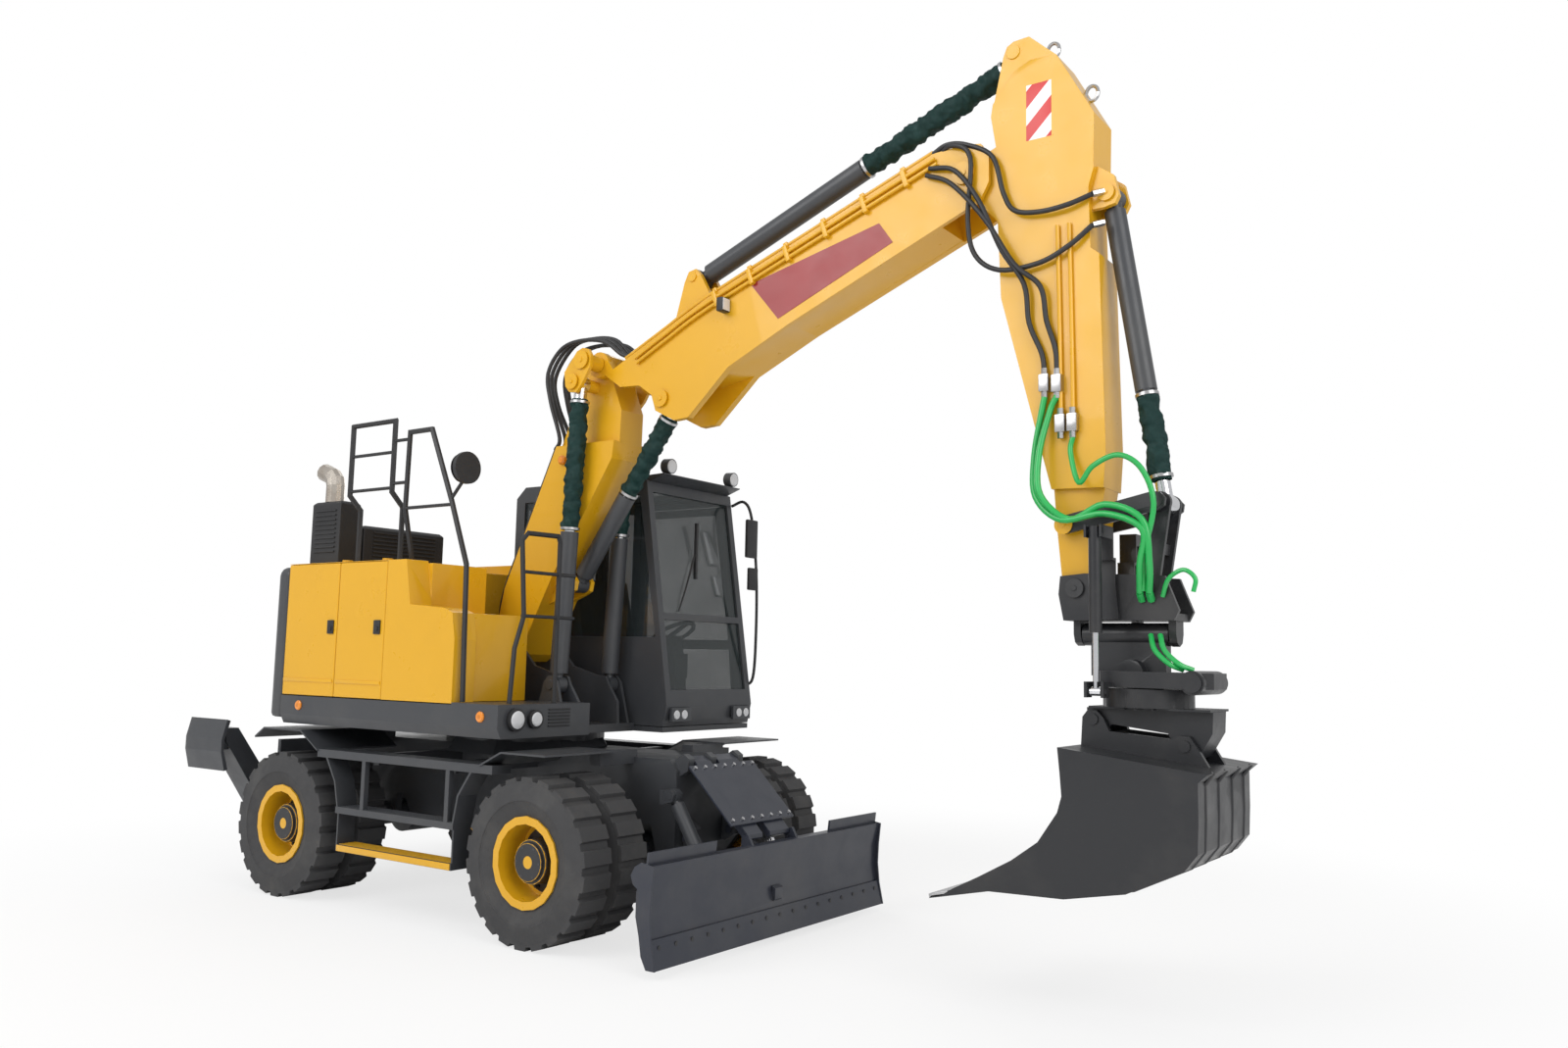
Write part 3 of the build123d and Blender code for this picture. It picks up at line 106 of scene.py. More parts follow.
class NodeBench:
    """A short way to build one material's nodes."""

    def __init__(self, name: str) -> None:
        """Start an empty material with its output and principled shader.

        Args:
            name: The material's name.
        """
        self.material = bpy.data.materials.new(name)
        self.material.use_nodes = True
        self.tree = self.material.node_tree
        self.tree.nodes.clear()
        self.output = self.add("ShaderNodeOutputMaterial")
        self.shader = self.add("ShaderNodeBsdfPrincipled")
        self.link(self.shader, "BSDF", self.output, "Surface")
        self.coordinates = self.add("ShaderNodeTexCoord")

    def add(self, kind: str, **values: object) -> bpy.types.Node:
        """Add a node and set its properties.

        Args:
            kind: The node's type name.
            **values: Properties of the node.

        Returns:
            The new node.
        """
        node = self.tree.nodes.new(kind)
        for name, value in values.items():
            setattr(node, name, value)
        return node

    def link(self, start: bpy.types.Node, out: str | int, end: bpy.types.Node, into: str | int) -> None:
        """Join one node's output to another's input.

        Args:
            start: The node that gives.
            out: Its output.
            end: The node that takes.
            into: Its input.
        """
        self.tree.links.new(start.outputs[out], end.inputs[into])

    def noise(self, scale: float, detail: float = 3.0, roughness: float = 0.55) -> bpy.types.Node:
        """Add a noise pattern on the object's own coordinates.

        Args:
            scale: How many features there are in a metre.
            detail: Octaves of the pattern.
            roughness: How strong the fine octaves are.

        Returns:
            The noise node.
        """
        node = self.add("ShaderNodeTexNoise")
        node.inputs["Scale"].default_value = scale
        node.inputs["Detail"].default_value = detail
        node.inputs["Roughness"].default_value = roughness
        self.link(self.coordinates, "Object", node, "Vector")
        return node

    def ramp(self, source: bpy.types.Node, out: str | int, low: float, high: float) -> bpy.types.Node:
        """Stretch a value between two limits to 0 and 1.

        Args:
            source: The node that gives the value.
            out: Its output.
            low: The value that becomes 0.
            high: The value that becomes 1.

        Returns:
            The node that gives the stretched value.
        """
        node = self.add("ShaderNodeMapRange")
        node.inputs["From Min"].default_value = low
        node.inputs["From Max"].default_value = high
        self.link(source, out, node, "Value")
        return node

    def mix(self, amount: bpy.types.Node, first: Colour | bpy.types.Node, second: Colour) -> bpy.types.Node:
        """Mix two colours by a value.

        Args:
            amount: The node whose first output is the share of the second colour.
            first: The colour, or the mixing node, at 0.
            second: The colour at 1.

        Returns:
            The mixing node, whose third output is the colour.
        """
        node = self.add("ShaderNodeMix", data_type="RGBA")
        self.link(amount, 0, node, 0)
        if isinstance(first, tuple):
            node.inputs[6].default_value = (*first, 1.0)
        else:
            self.link(first, 2, node, 6)
        node.inputs[7].default_value = (*second, 1.0)
        return node

    def bump(self, height: bpy.types.Node, out: str | int, strength: float, distance: float) -> None:
        """Drive the shader's normal by a height.

        Args:
            height: The node that gives the height.
            out: Its output.
            strength: The bump's strength.
            distance: The relief's depth in metres.
        """
        node = self.add("ShaderNodeBump")
        node.inputs["Strength"].default_value = strength
        node.inputs["Distance"].default_value = distance
        self.link(height, out, node, "Height")
        self.link(node, "Normal", self.shader, "Normal")


@dataclass(frozen=True)
class Finish:
    """A surface with slow colour variation, a little dust and its own relief."""

    name: str
    colour: Colour
    worn: Colour
    roughness: float
    metallic: float = 0.0
    coat: float = 0.0
    grain: Grain = Grain.ORANGE_PEEL
    patch_scale: float = 1.6
    patch_share: float = 0.35

    def build(self) -> bpy.types.Material:
        """Make the material.

        Returns:
            The new material.
        """
        bench = NodeBench(self.name)
        shader = bench.shader
        patches = bench.ramp(bench.noise(self.patch_scale, 5.0, 0.6), 0, 0.48, 0.78)
        share = bench.add("ShaderNodeMath", operation="MULTIPLY")
        bench.link(patches, 0, share, 0)
        share.inputs[1].default_value = self.patch_share
        toned = bench.mix(share, self.colour, self.worn)
        specks = bench.ramp(bench.noise(90.0, 2.0), 0, 0.66, 0.74)
        speck_share = bench.add("ShaderNodeMath", operation="MULTIPLY")
        bench.link(specks, 0, speck_share, 0)
        speck_share.inputs[1].default_value = self.patch_share * 0.4
        coloured = bench.mix(speck_share, toned, self.worn)
        bench.link(coloured, 2, shader, "Base Color")
        gloss = bench.ramp(bench.noise(7.0, 4.0), 0, 0.3, 0.7)
        gloss.inputs["To Min"].default_value = max(0.02, self.roughness - 0.06)
        gloss.inputs["To Max"].default_value = min(1.0, self.roughness + 0.08)
        bench.link(gloss, 0, shader, "Roughness")
        shader.inputs["Metallic"].default_value = self.metallic
        shader.inputs["Coat Weight"].default_value = self.coat
        self.relief(bench)
        return bench.material

    def relief(self, bench: NodeBench) -> None:
        """Add the bump that suits the finish.

        Args:
            bench: The material's nodes.
        """
        if self.grain is Grain.ORANGE_PEEL:
            bench.bump(bench.noise(140.0, 2.0), 0, 0.06, 0.002)
        elif self.grain is Grain.MOULDED:
            bench.bump(bench.noise(620.0, 3.0), 0, 0.25, 0.001)
        elif self.grain is Grain.CAST:
            bench.bump(bench.noise(210.0, 5.0, 0.7), 0, 0.3, 0.002)
        elif self.grain is Grain.WOVEN:
            weave = bench.add("ShaderNodeTexWave", wave_type="BANDS", bands_direction="DIAGONAL")
            weave.inputs["Scale"].default_value = 260.0
            weave.inputs["Distortion"].default_value = 1.5
            bench.link(bench.coordinates, "Object", weave, "Vector")
            bench.bump(weave, 0, 0.2, 0.001)


@dataclass(frozen=True)
class GlassFinish:
    """Tinted flat glass."""

    name: str
    colour: Colour = (0.035, 0.045, 0.047)
    alpha: float = 0.48

    def build(self) -> bpy.types.Material:
        """Make the material.

        Returns:
            The new material.
        """
        bench = NodeBench(self.name)
        shader = bench.shader
        film = bench.ramp(bench.noise(3.0, 4.0), 0, 0.3, 0.7)
        film.inputs["To Min"].default_value = self.alpha
        film.inputs["To Max"].default_value = self.alpha + 0.08
        bench.link(film, 0, shader, "Alpha")
        shader.inputs["Base Color"].default_value = (*self.colour, 1.0)
        shader.inputs["Roughness"].default_value = 0.03
        shader.inputs["IOR"].default_value = 1.5
        shader.inputs["Specular IOR Level"].default_value = 0.8
        return bench.material


@dataclass(frozen=True)
class LampFinish:
    """A lens or reflector with a fine ribbed face."""

    name: str
    colour: Colour
    roughness: float = 0.12
    ribs: float = 120.0

    def build(self) -> bpy.types.Material:
        """Make the material.

        Returns:
            The new material.
        """
        bench = NodeBench(self.name)
        shader = bench.shader
        ribs = bench.add("ShaderNodeTexWave", wave_type="BANDS", bands_direction="Y")
        ribs.inputs["Scale"].default_value = self.ribs
        bench.link(bench.coordinates, "Object", ribs, "Vector")
        tone = bench.mix(ribs, self.colour, tuple(0.7 * c for c in self.colour))
        bench.link(tone, 2, shader, "Base Color")
        shader.inputs["Roughness"].default_value = self.roughness
        shader.inputs["Coat Weight"].default_value = 0.8
        bench.bump(ribs, 0, 0.3, 0.001)
        return bench.material


@dataclass(frozen=True)
class ChevronFinish:
    """Red and white slanting stripes of a reflective plate."""

    name: str
    pitch: float = 0.15

    def build(self) -> bpy.types.Material:
        """Make the material.

        Returns:
            The new material.
        """
        bench = NodeBench(self.name)
        split = bench.add("ShaderNodeSeparateXYZ")
        bench.link(bench.coordinates, "Object", split, "Vector")
        slant = bench.add("ShaderNodeMath", operation="SUBTRACT")
        bench.link(split, "Z", slant, 0)
        bench.link(split, "X", slant, 1)
        turns = bench.add("ShaderNodeMath", operation="DIVIDE")
        bench.link(slant, 0, turns, 0)
        turns.inputs[1].default_value = self.pitch * 1.414
        part = bench.add("ShaderNodeMath", operation="FRACT")
        bench.link(turns, 0, part, 0)
        stripe = bench.add("ShaderNodeMath", operation="GREATER_THAN")
        bench.link(part, 0, stripe, 0)
        stripe.inputs[1].default_value = 0.5
        colour = bench.mix(stripe, (0.62, 0.03, 0.03), (0.86, 0.86, 0.84))
        bench.link(colour, 2, bench.shader, "Base Color")
        bench.shader.inputs["Roughness"].default_value = 0.3
        bench.bump(bench.noise(400.0), 0, 0.08, 0.001)
        return bench.material


class Palette:
    """Every finish of the machine, built once."""

    def __init__(self) -> None:
        """Build the materials."""
        self.yellow = Finish("yellow_paint", (0.74, 0.39, 0.008), (0.56, 0.29, 0.014), 0.32, coat=0.25,
                             patch_share=0.18).build()
        self.grey = Finish("dark_grey_paint", (0.046, 0.049, 0.055), (0.10, 0.098, 0.092), 0.42, coat=0.1,
                           patch_share=0.3).build()
        self.blade = Finish("blade_paint", (0.024, 0.028, 0.042), (0.09, 0.088, 0.085), 0.36, coat=0.15,
                            patch_share=0.35).build()
        self.black = Finish("black_trim", (0.018, 0.018, 0.02), (0.05, 0.05, 0.048), 0.5,
                            grain=Grain.MOULDED).build()
        self.tool = Finish("tool_black", (0.014, 0.015, 0.018), (0.075, 0.07, 0.065), 0.38, coat=0.1,
                           patch_share=0.4).build()
        self.casting = Finish("hub_casting", (0.03, 0.031, 0.034), (0.09, 0.085, 0.08), 0.55,
                              grain=Grain.CAST).build()
        self.tyre = Finish("tyre_rubber", (0.048, 0.048, 0.05), (0.10, 0.097, 0.092), 0.82,
                           grain=Grain.MOULDED, patch_scale=4.0, patch_share=0.5).build()
        self.steel = Finish("bright_steel", (0.55, 0.55, 0.56), (0.30, 0.29, 0.27), 0.3, metallic=1.0).build()
        self.chrome = Finish("rod_chrome", (0.78, 0.79, 0.82), (0.6, 0.6, 0.62), 0.12, metallic=1.0,
                             grain=Grain.NONE).build()
        self.stainless = Finish("stainless_tube", (0.58, 0.53, 0.47), (0.33, 0.24, 0.17), 0.28, metallic=1.0,
                                patch_scale=6.0, patch_share=0.6).build()
        self.fabric = Finish("sleeve_cloth", (0.012, 0.060, 0.054), (0.03, 0.11, 0.10), 0.6,
                             grain=Grain.WOVEN, patch_scale=9.0, patch_share=0.6).build()
        self.hose = Finish("hose_rubber", (0.02, 0.02, 0.022), (0.05, 0.05, 0.05), 0.45,
                           grain=Grain.MOULDED).build()
        self.green = Finish("green_spiral_guard", (0.012, 0.42, 0.085), (0.02, 0.28, 0.06), 0.35, coat=0.3,
                            grain=Grain.NONE).build()
        self.seat = Finish("seat_cloth", (0.03, 0.03, 0.034), (0.07, 0.07, 0.075), 0.85,
                           grain=Grain.WOVEN).build()
        self.glass = GlassFinish("window_glass").build()
        self.mirror = Finish("mirror_glass", (0.85, 0.86, 0.88), (0.8, 0.8, 0.82), 0.05, metallic=1.0,
                             grain=Grain.NONE).build()
        self.amber = LampFinish("amber_lens", (0.9, 0.28, 0.01)).build()
        self.lens = LampFinish("clear_lens", (0.75, 0.76, 0.78)).build()
        self.chevron = ChevronFinish("chevron_plate").build()
        self.panel = Finish("blank_panel_paint", (0.30, 0.014, 0.016), (0.14, 0.012, 0.012), 0.35, coat=0.2,
                            patch_share=0.3).build()


class Mesher:
    """Makes pieces from bmesh geometry and hands them to the frame."""

    @staticmethod
    def finish(name: str, bm: bmesh.types.BMesh, material: bpy.types.Material, body: str,
               smooth: float = 0.6) -> bpy.types.Object:
        """Turn a bmesh into a piece that rides on a body.

        Args:
            name: The piece's name.
            bm: Its geometry, which is freed.
            material: Its finish.
            body: The body it moves with.
            smooth: The angle in radians under which edges are smooth.

        Returns:
            The new object.
        """
        mesh = bpy.data.meshes.new(name)
        bm.to_mesh(mesh)
        bm.free()
        piece = bpy.data.objects.new(name, mesh)
        bpy.context.scene.collection.objects.link(piece)
        mesh.materials.append(material)
        mesh.shade_smooth()
        mesh.set_sharp_from_angle(angle=smooth)
        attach(piece, body)
        return piece

    @staticmethod
    def box(bm: bmesh.types.BMesh, low: Point, high: Point, bevel: float = 0.0) -> None:
        """Add a box between two corners, with its edges broken.

        Args:
            bm: Where the box goes.
            low: The lowest corner.
            high: The highest corner.
            bevel: The width of the broken edges.
        """
        centre = (Vector(low) + Vector(high)) / 2
        size = Vector(high) - Vector(low)
        place = Matrix.Translation(centre) @ Matrix.Diagonal((*size, 1.0))
        made = bmesh.ops.create_cube(bm, size=1.0, matrix=place)
        if bevel > 0:
            edges = {edge for vert in made["verts"] for edge in vert.link_edges}
            bmesh.ops.bevel(bm, geom=list(edges), offset=bevel, segments=2, affect="EDGES", profile=0.6)

    @staticmethod
    def rod(bm: bmesh.types.BMesh, start: Vector, end: Vector, radius: float, sides: int = 20) -> None:
        """Add a capped round bar between two points.

        Args:
            bm: Where the bar goes.
            start: The middle of one end.
            end: The middle of the other.
            radius: Its radius.
            sides: Its sides.
        """
        axis = end - start
        turn = axis.to_track_quat("Z", "Y").to_matrix().to_4x4()
        place = Matrix.Translation((start + end) / 2) @ turn
        bmesh.ops.create_cone(bm, cap_ends=True, segments=sides, radius1=radius, radius2=radius,
                              depth=axis.length, matrix=place)

    @staticmethod
    def spun(bm: bmesh.types.BMesh, profile: Sequence[tuple[float, float]], centre: Vector, axis: Vector,
             steps: int, closed: bool = False) -> None:
        """Add a turned form.

        Args:
            bm: Where the form goes.
            profile: Pairs of distance along the axis and radius.
            centre: The axis's origin.
            axis: The axis's direction.
            steps: Sides of the form.
            closed: Whether the profile's ends join.
        """
        turn = axis.to_track_quat("Z", "Y").to_matrix()
        rings = []
        for along, radius in profile:
            ring = []
            for step in range(steps):
                angle = 2 * math.pi * step / steps
                local = Vector((radius * math.cos(angle), radius * math.sin(angle), along))
                ring.append(bm.verts.new(centre + turn @ local))
            rings.append(ring)
        pairs = list(zip(rings, rings[1:] + ([rings[0]] if closed else [])))
        for near, far in pairs[: len(rings) if closed else len(rings) - 1]:
            for step in range(steps):
                after = (step + 1) % steps
                bm.faces.new((near[step], near[after], far[after], far[step]))
        if not closed:
            bm.faces.new(list(reversed(rings[0])))
            bm.faces.new(rings[-1])
        bmesh.ops.recalc_face_normals(bm, faces=bm.faces)


@dataclass
class SoftEdges:
    """Gives the rigid solids of the frame broken edges and a finish."""

    width: float = 0.006
    segments: int = 2
    sharp_angle: float = 0.5

    def dress(self, node: str, material: bpy.types.Material, width: float | None = None) -> bpy.types.Object:
        """Replace a node by a copy whose sharp edges are rounded.

        Args:
            node: The CAD node.
            material: Its finish.
            width: The rounding in metres, if it isn't the usual one.

        Returns:
            The piece that stands for the node.
        """
        source = frame["nodes"][node]
        bm = bmesh.new()
        bm.from_mesh(source.data)
        bmesh.ops.remove_doubles(bm, verts=bm.verts, dist=0.00005)
        bmesh.ops.dissolve_limit(bm, angle_limit=0.01, verts=bm.verts, edges=bm.edges)
        mesh = bpy.data.meshes.new(f"{node}_skin")
        bm.to_mesh(mesh)
        bm.free()
        piece = bpy.data.objects.new(f"{node}_skin", mesh)
        bpy.context.scene.collection.objects.link(piece)
        mesh.materials.append(material)
        mesh.shade_smooth()
        bevel = piece.modifiers.new("broken_edges", "BEVEL")
        bevel.width = width or self.width
        bevel.segments = self.segments
        bevel.limit_method = "ANGLE"
        bevel.angle_limit = self.sharp_angle
        bevel.use_clamp_overlap = True
        bevel.harden_normals = True
        mesh.set_sharp_from_angle(angle=self.sharp_angle)
        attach(piece, frame["body_of"][node])
        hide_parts(node)
        return piece


@dataclass
class PhotoCamera:
    """The camera that took the photograph, solved from the machine's known sizes."""

    place: Point = (5.695, -6.647, 1.813)
    azimuth: float = 125.0043
    pitch: float = 6.373
    roll: float = 1.1851
    lens: float = 27.79

    def build(self) -> bpy.types.Object:
        """Add the camera and make it the scene's.

        Returns:
            The camera object.
        """
        azimuth, pitch, roll = (math.radians(v) for v in (self.azimuth, self.pitch, self.roll))
        ahead = Vector((math.cos(azimuth) * math.cos(pitch), math.sin(azimuth) * math.cos(pitch),
                        math.sin(pitch)))
        right = ahead.cross(Vector((0, 0, 1))).normalized()
        up = right.cross(ahead)
        side = math.cos(roll) * right + math.sin(roll) * up
        top = -math.sin(roll) * right + math.cos(roll) * up
        data = bpy.data.cameras.new("photo_camera")
        data.lens = self.lens
        data.sensor_width = 36.0
        data.clip_end = 200.0
        camera = bpy.data.objects.new("photo_camera", data)
        bpy.context.scene.collection.objects.link(camera)
        turn = Matrix((side, top, -ahead)).transposed().to_4x4()
        camera.matrix_world = Matrix.Translation(self.place) @ turn
        bpy.context.scene.camera = camera
        return camera


@dataclass
class Studio:
    """A plain pale floor, a white surround and soft lamps."""

    floor_size: float = 60.0
    floor_tone: float = 0.9
    glow_near: float = 0.72
    shadow_reach: float = 3.5
    white_reach: float = 8.0

    def build(self) -> None:
        """Add the floor, the world and the lamps."""
        self.floor()
        self.world()
        self.lamp("key", (-3.0, -12.0, 10.0), 9.0, 950.0)
        self.lamp("front", (13.0, -5.0, 8.0), 8.0, 620.0)
        self.lamp("fill", (-10.0, 7.0, 7.0), 8.0, 260.0)

    def floor(self) -> None:
        """Add the floor, which shows as white where nothing shades it."""
        bench = NodeBench("floor_white")
        path = bench.add("ShaderNodeLightPath")
        glow = bench.add("ShaderNodeEmission")
        glow.inputs["Strength"].default_value = 1.0
        mixed = bench.add("ShaderNodeMixShader")
        reach = bench.add("ShaderNodeVectorMath", operation="LENGTH")
        bench.link(bench.coordinates, "Object", reach, 0)
        fade = bench.add("ShaderNodeMapRange", interpolation_type="SMOOTHSTEP")
        fade.inputs["From Min"].default_value = self.shadow_reach
        fade.inputs["From Max"].default_value = self.white_reach
        fade.inputs["To Min"].default_value = self.glow_near
        bench.link(reach, "Value", fade, "Value")
        share = bench.add("ShaderNodeMath", operation="MULTIPLY")
        bench.link(path, "Is Camera Ray", share, 0)
        bench.link(fade, 0, share, 1)
        bench.link(share, 0, mixed, 0)
        bench.link(bench.shader, "BSDF", mixed, 1)
        bench.link(glow, "Emission", mixed, 2)
        bench.link(mixed, 0, bench.output, "Surface")
        bench.shader.inputs["Base Color"].default_value = (self.floor_tone,) * 3 + (1.0,)
        bench.shader.inputs["Roughness"].default_value = 0.9
        bm = bmesh.new()
        bmesh.ops.create_grid(bm, x_segments=1, y_segments=1, size=self.floor_size)
        mesh = bpy.data.meshes.new("floor")
        bm.to_mesh(mesh)
        bm.free()
        mesh.materials.append(bench.material)
        ground = bpy.data.objects.new("floor", mesh)
        bpy.context.scene.collection.objects.link(ground)

    def world(self) -> None:
        """Light the scene softly and show white to the camera."""
        world = bpy.data.worlds.new("surround")
        bpy.context.scene.world = world
        world.use_nodes = True
        tree = world.node_tree
        back = tree.nodes["Background"]
        back.inputs["Color"].default_value = (1.0, 1.0, 1.0, 1.0)
        path = tree.nodes.new("ShaderNodeLightPath")
        seen = tree.nodes.new("ShaderNodeMath")
        seen.operation = "MAXIMUM"
        tree.links.new(path.outputs["Is Camera Ray"], seen.inputs[0])
        tree.links.new(path.outputs["Is Transmission Ray"], seen.inputs[1])
        level = tree.nodes.new("ShaderNodeMapRange")
        level.inputs["To Min"].default_value = 0.62
        level.inputs["To Max"].default_value = 1.0
        tree.links.new(seen.outputs[0], level.inputs["Value"])
        tree.links.new(level.outputs[0], back.inputs["Strength"])

    def lamp(self, name: str, place: Point, size: float, power: float) -> None:
        """Add an area lamp aimed at the machine's middle.

        Args:
            name: The lamp's name.
            place: Where it hangs.
            size: Its side in metres.
            power: Its power in watts.
        """
        data = bpy.data.lights.new(name, "AREA")
        data.size = size
        data.energy = power
        lamp = bpy.data.objects.new(name, data)
        bpy.context.scene.collection.objects.link(lamp)
        aim = Vector((0.0, 0.0, 1.8)) - Vector(place)
        lamp.matrix_world = Matrix.Translation(place) @ aim.to_track_quat("-Z", "Y").to_matrix().to_4x4()
        bpy.context.view_layer.update()


@dataclass
class NodeFinishes:
    """Which finish each CAD node takes, and how round its edges are."""

    palette: Palette
    edges: SoftEdges = field(default_factory=SoftEdges)

    def dress(self) -> None:
        """Dress every rigid node."""
        paint = self.palette
        plan = {
            paint.yellow: ("lower_boom", "upper_boom", "stick", "body_panels", "door_right_middle",
                           "door_left", "door_right_rear", "rims_front_left", "rims_front_right",
                           "rims_rear_left", "rims_rear_right"),
            paint.grey: ("chassis_frame", "axles", "knuckle_left", "knuckle_right", "steps_fenders",
                         "revolving_frame", "counterweight", "cab_shell", "cab_door", "outrigger_left",
                         "outrigger_right", "engine_block", "lift_barrels", "adjust_barrel", "stick_barrel",
                         "bucket_barrel", "blade_barrels"),
            paint.blade: ("blade", "blade_arms", "blade_cover"),
            paint.black: ("engine_hood", "muffler_cover", "handrails"),
            paint.tool: ("tilt_head", "tilt_frame", "rotor_hitch", "bucket", "rocker", "bucket_link",
                         "tilt_barrel_left", "tilt_barrel_right"),
        }
        fine = {"handrails": 0.002, "blade_cover": 0.004, "steps_fenders": 0.003, "cab_shell": 0.01,
                "body_panels": 0.012, "door_right_rear": 0.012, "door_right_middle": 0.012,
                "counterweight": 0.03}
        for material, nodes in plan.items():
            for node in nodes:
                if node in frame["nodes"]:
                    self.edges.dress(node, material, fine.get(node))
        plain = {
            "cab_glass": paint.glass, "cab_door_glass": paint.glass, "seat_console": paint.seat,
            "exhaust_pipe": paint.stainless, "blade_rods": paint.chrome,
            "tilt_rod_left": paint.chrome, "tilt_rod_right": paint.chrome,
            "tyres_front_left": paint.tyre, "tyres_front_right": paint.tyre, "tyres_rear_left": paint.tyre,
            "tyres_rear_right": paint.tyre,
        }
        for node, material in plain.items():
            if node in frame["nodes"]:
                frame["nodes"][node].data.materials.clear()
                frame["nodes"][node].data.materials.append(material)


class Repeater:
    """Repeats one small form in a line and about an axis with Geometry Nodes."""

    def __init__(self) -> None:
        """Build the tree once."""
        tree = bpy.data.node_groups.new("repeat_in_line_and_turn", "GeometryNodeTree")
        self.tree = tree
        self.sockets: dict[str, str] = {}
        for name, kind in (("Unit", "Geometry"), ("Count", "Int"), ("Start", "Vector"), ("Step", "Vector"),
                           ("Axis", "Vector"), ("Turn", "Float"), ("Finish", "Material")):
            made = tree.interface.new_socket(name, in_out="INPUT", socket_type=f"NodeSocket{kind}")
            self.sockets[name] = made.identifier
        tree.interface.new_socket("Result", in_out="OUTPUT", socket_type="NodeSocketGeometry")
        given = tree.nodes.new("NodeGroupInput")
        result = tree.nodes.new("NodeGroupOutput")
        line = tree.nodes.new("GeometryNodeMeshLine")
        put = tree.nodes.new("GeometryNodeInstanceOnPoints")
        index = tree.nodes.new("GeometryNodeInputIndex")
        angle = tree.nodes.new("ShaderNodeMath")
        angle.operation = "MULTIPLY"
        turn = tree.nodes.new("FunctionNodeAxisAngleToRotation")
        real = tree.nodes.new("GeometryNodeRealizeInstances")
        paint = tree.nodes.new("GeometryNodeSetMaterial")
        for start, out, end, into in (
            (given, "Count", line, "Count"),
            (given, "Start", line, "Start Location"),
            (given, "Step", line, "Offset"),
            (line, "Mesh", put, "Points"),
            (given, "Unit", put, "Instance"),
            (index, 0, angle, 0),
            (given, "Turn", angle, 1),
            (given, "Axis", turn, "Axis"),
            (angle, 0, turn, "Angle"),
            (turn, 0, put, "Rotation"),
            (put, 0, real, 0),
            (real, 0, paint, 0),
            (given, "Finish", paint, "Material"),
            (paint, 0, result, 0),
        ):
            tree.links.new(start.outputs[out], end.inputs[into])

    def repeat(self, name: str, unit: bmesh.types.BMesh, count: int, material: bpy.types.Material, body: str,
               start: Point = (0, 0, 0), step: Point = (0, 0, 0), axis: Point = (0, 0, 1),
               turn: float = 0.0) -> bpy.types.Object:
        """Make a row or a ring of one form.

        Args:
            name: The piece's name.
            unit: The form, about the point that start moves to.
            count: How many there are.
            material: Their finish.
            body: The body they move with.
            start: Where the first stands.
            step: From each to the next.
            axis: The axis that each is turned about, through its own point.
            turn: The angle from each to the next.

        Returns:
            The finished piece.
        """
        mesh = bpy.data.meshes.new(f"{name}_unit")
        unit.to_mesh(mesh)
        unit.free()
        source = bpy.data.objects.new(f"{name}_unit", mesh)
        bpy.context.scene.collection.objects.link(source)
        modifier = source.modifiers.new("repeat", "NODES")
        modifier.node_group = self.tree
        values = {"Count": count, "Start": start, "Step": step, "Axis": axis, "Turn": turn,
                  "Finish": material}
        for key, value in values.items():
            plain = key in ("Count", "Turn", "Finish")
            modifier[self.sockets[key]] = value if plain else tuple(map(float, value))
        bpy.context.view_layer.update()
        evaluated = source.evaluated_get(bpy.context.evaluated_depsgraph_get())
        made = bpy.data.meshes.new_from_object(evaluated)
        source.modifiers.clear()
        bpy.data.objects.remove(source)
        bm = bmesh.new()
        bm.from_mesh(made)
        bpy.data.meshes.remove(made)
        return Mesher.finish(name, bm, material, body)


def at(x: float, z: float, y: float = BOOM_Y) -> Vector:
    """Return a point from its place in the arm's plane and its distance to the side.

    Args:
        x: How far forward it is.
        z: How high it is.
        y: How far to the left it is.

    Returns:
        The point.
    """
    return Vector((x, y, z))


def tube(bm: bmesh.types.BMesh, points: Sequence[Vector], radius: float, sides: int = 10,
         fine: int = 6) -> None:
    """Add a tube along a smooth curve through points, closed at its ends.

    Args:
        bm: Where the tube goes.
        points: The points that it passes.
        radius: Its radius.
        sides: Its sides.
        fine: Steps between each two points.
    """
    ends = [points[0] * 2 - points[1], *points, points[-1] * 2 - points[-2]]
    line = []
    for a, b, c, d in zip(ends, ends[1:], ends[2:], ends[3:]):
        for step in range(fine):
            t = step / fine
            line.append(0.5 * (2 * b + (c - a) * t + (2 * a - 5 * b + 4 * c - d) * t ** 2
                               + (3 * b - a - 3 * c + d) * t ** 3))
    line.append(points[-1].copy())
    ahead = (line[1] - line[0]).normalized()
    side = ahead.orthogonal().normalized()
    rings = []
    for index, point in enumerate(line):
        next_ahead = (line[min(index + 1, len(line) - 1)] - line[max(index - 1, 0)]).normalized()
        side = (side - side.dot(next_ahead) * next_ahead).normalized()
        up = next_ahead.cross(side)
        ring = []
        for k in range(sides):
            angle = 2 * math.pi * k / sides
            ring.append(bm.verts.new(point + radius * (math.cos(angle) * side + math.sin(angle) * up)))
        rings.append(ring)
    for near, far in zip(rings, rings[1:]):
        for k in range(sides):
            after = (k + 1) % sides
            bm.faces.new((near[k], near[after], far[after], far[k]))
    bm.faces.new(list(reversed(rings[0])))
    bm.faces.new(rings[-1])


@dataclass(frozen=True)
class SleeveRun:
    """One arm cylinder whose rod has a cloth sleeve, in metres along its own line."""

    name: str
    base: tuple[float, float]
    eye: tuple[float, float]
    sides: tuple[float, ...]
    near: float
    far: float
    radius: float
    rod: float
    rod_length: float
    eye_half: float
    eye_radius: float
    barrel_body: str
    rod_body: str


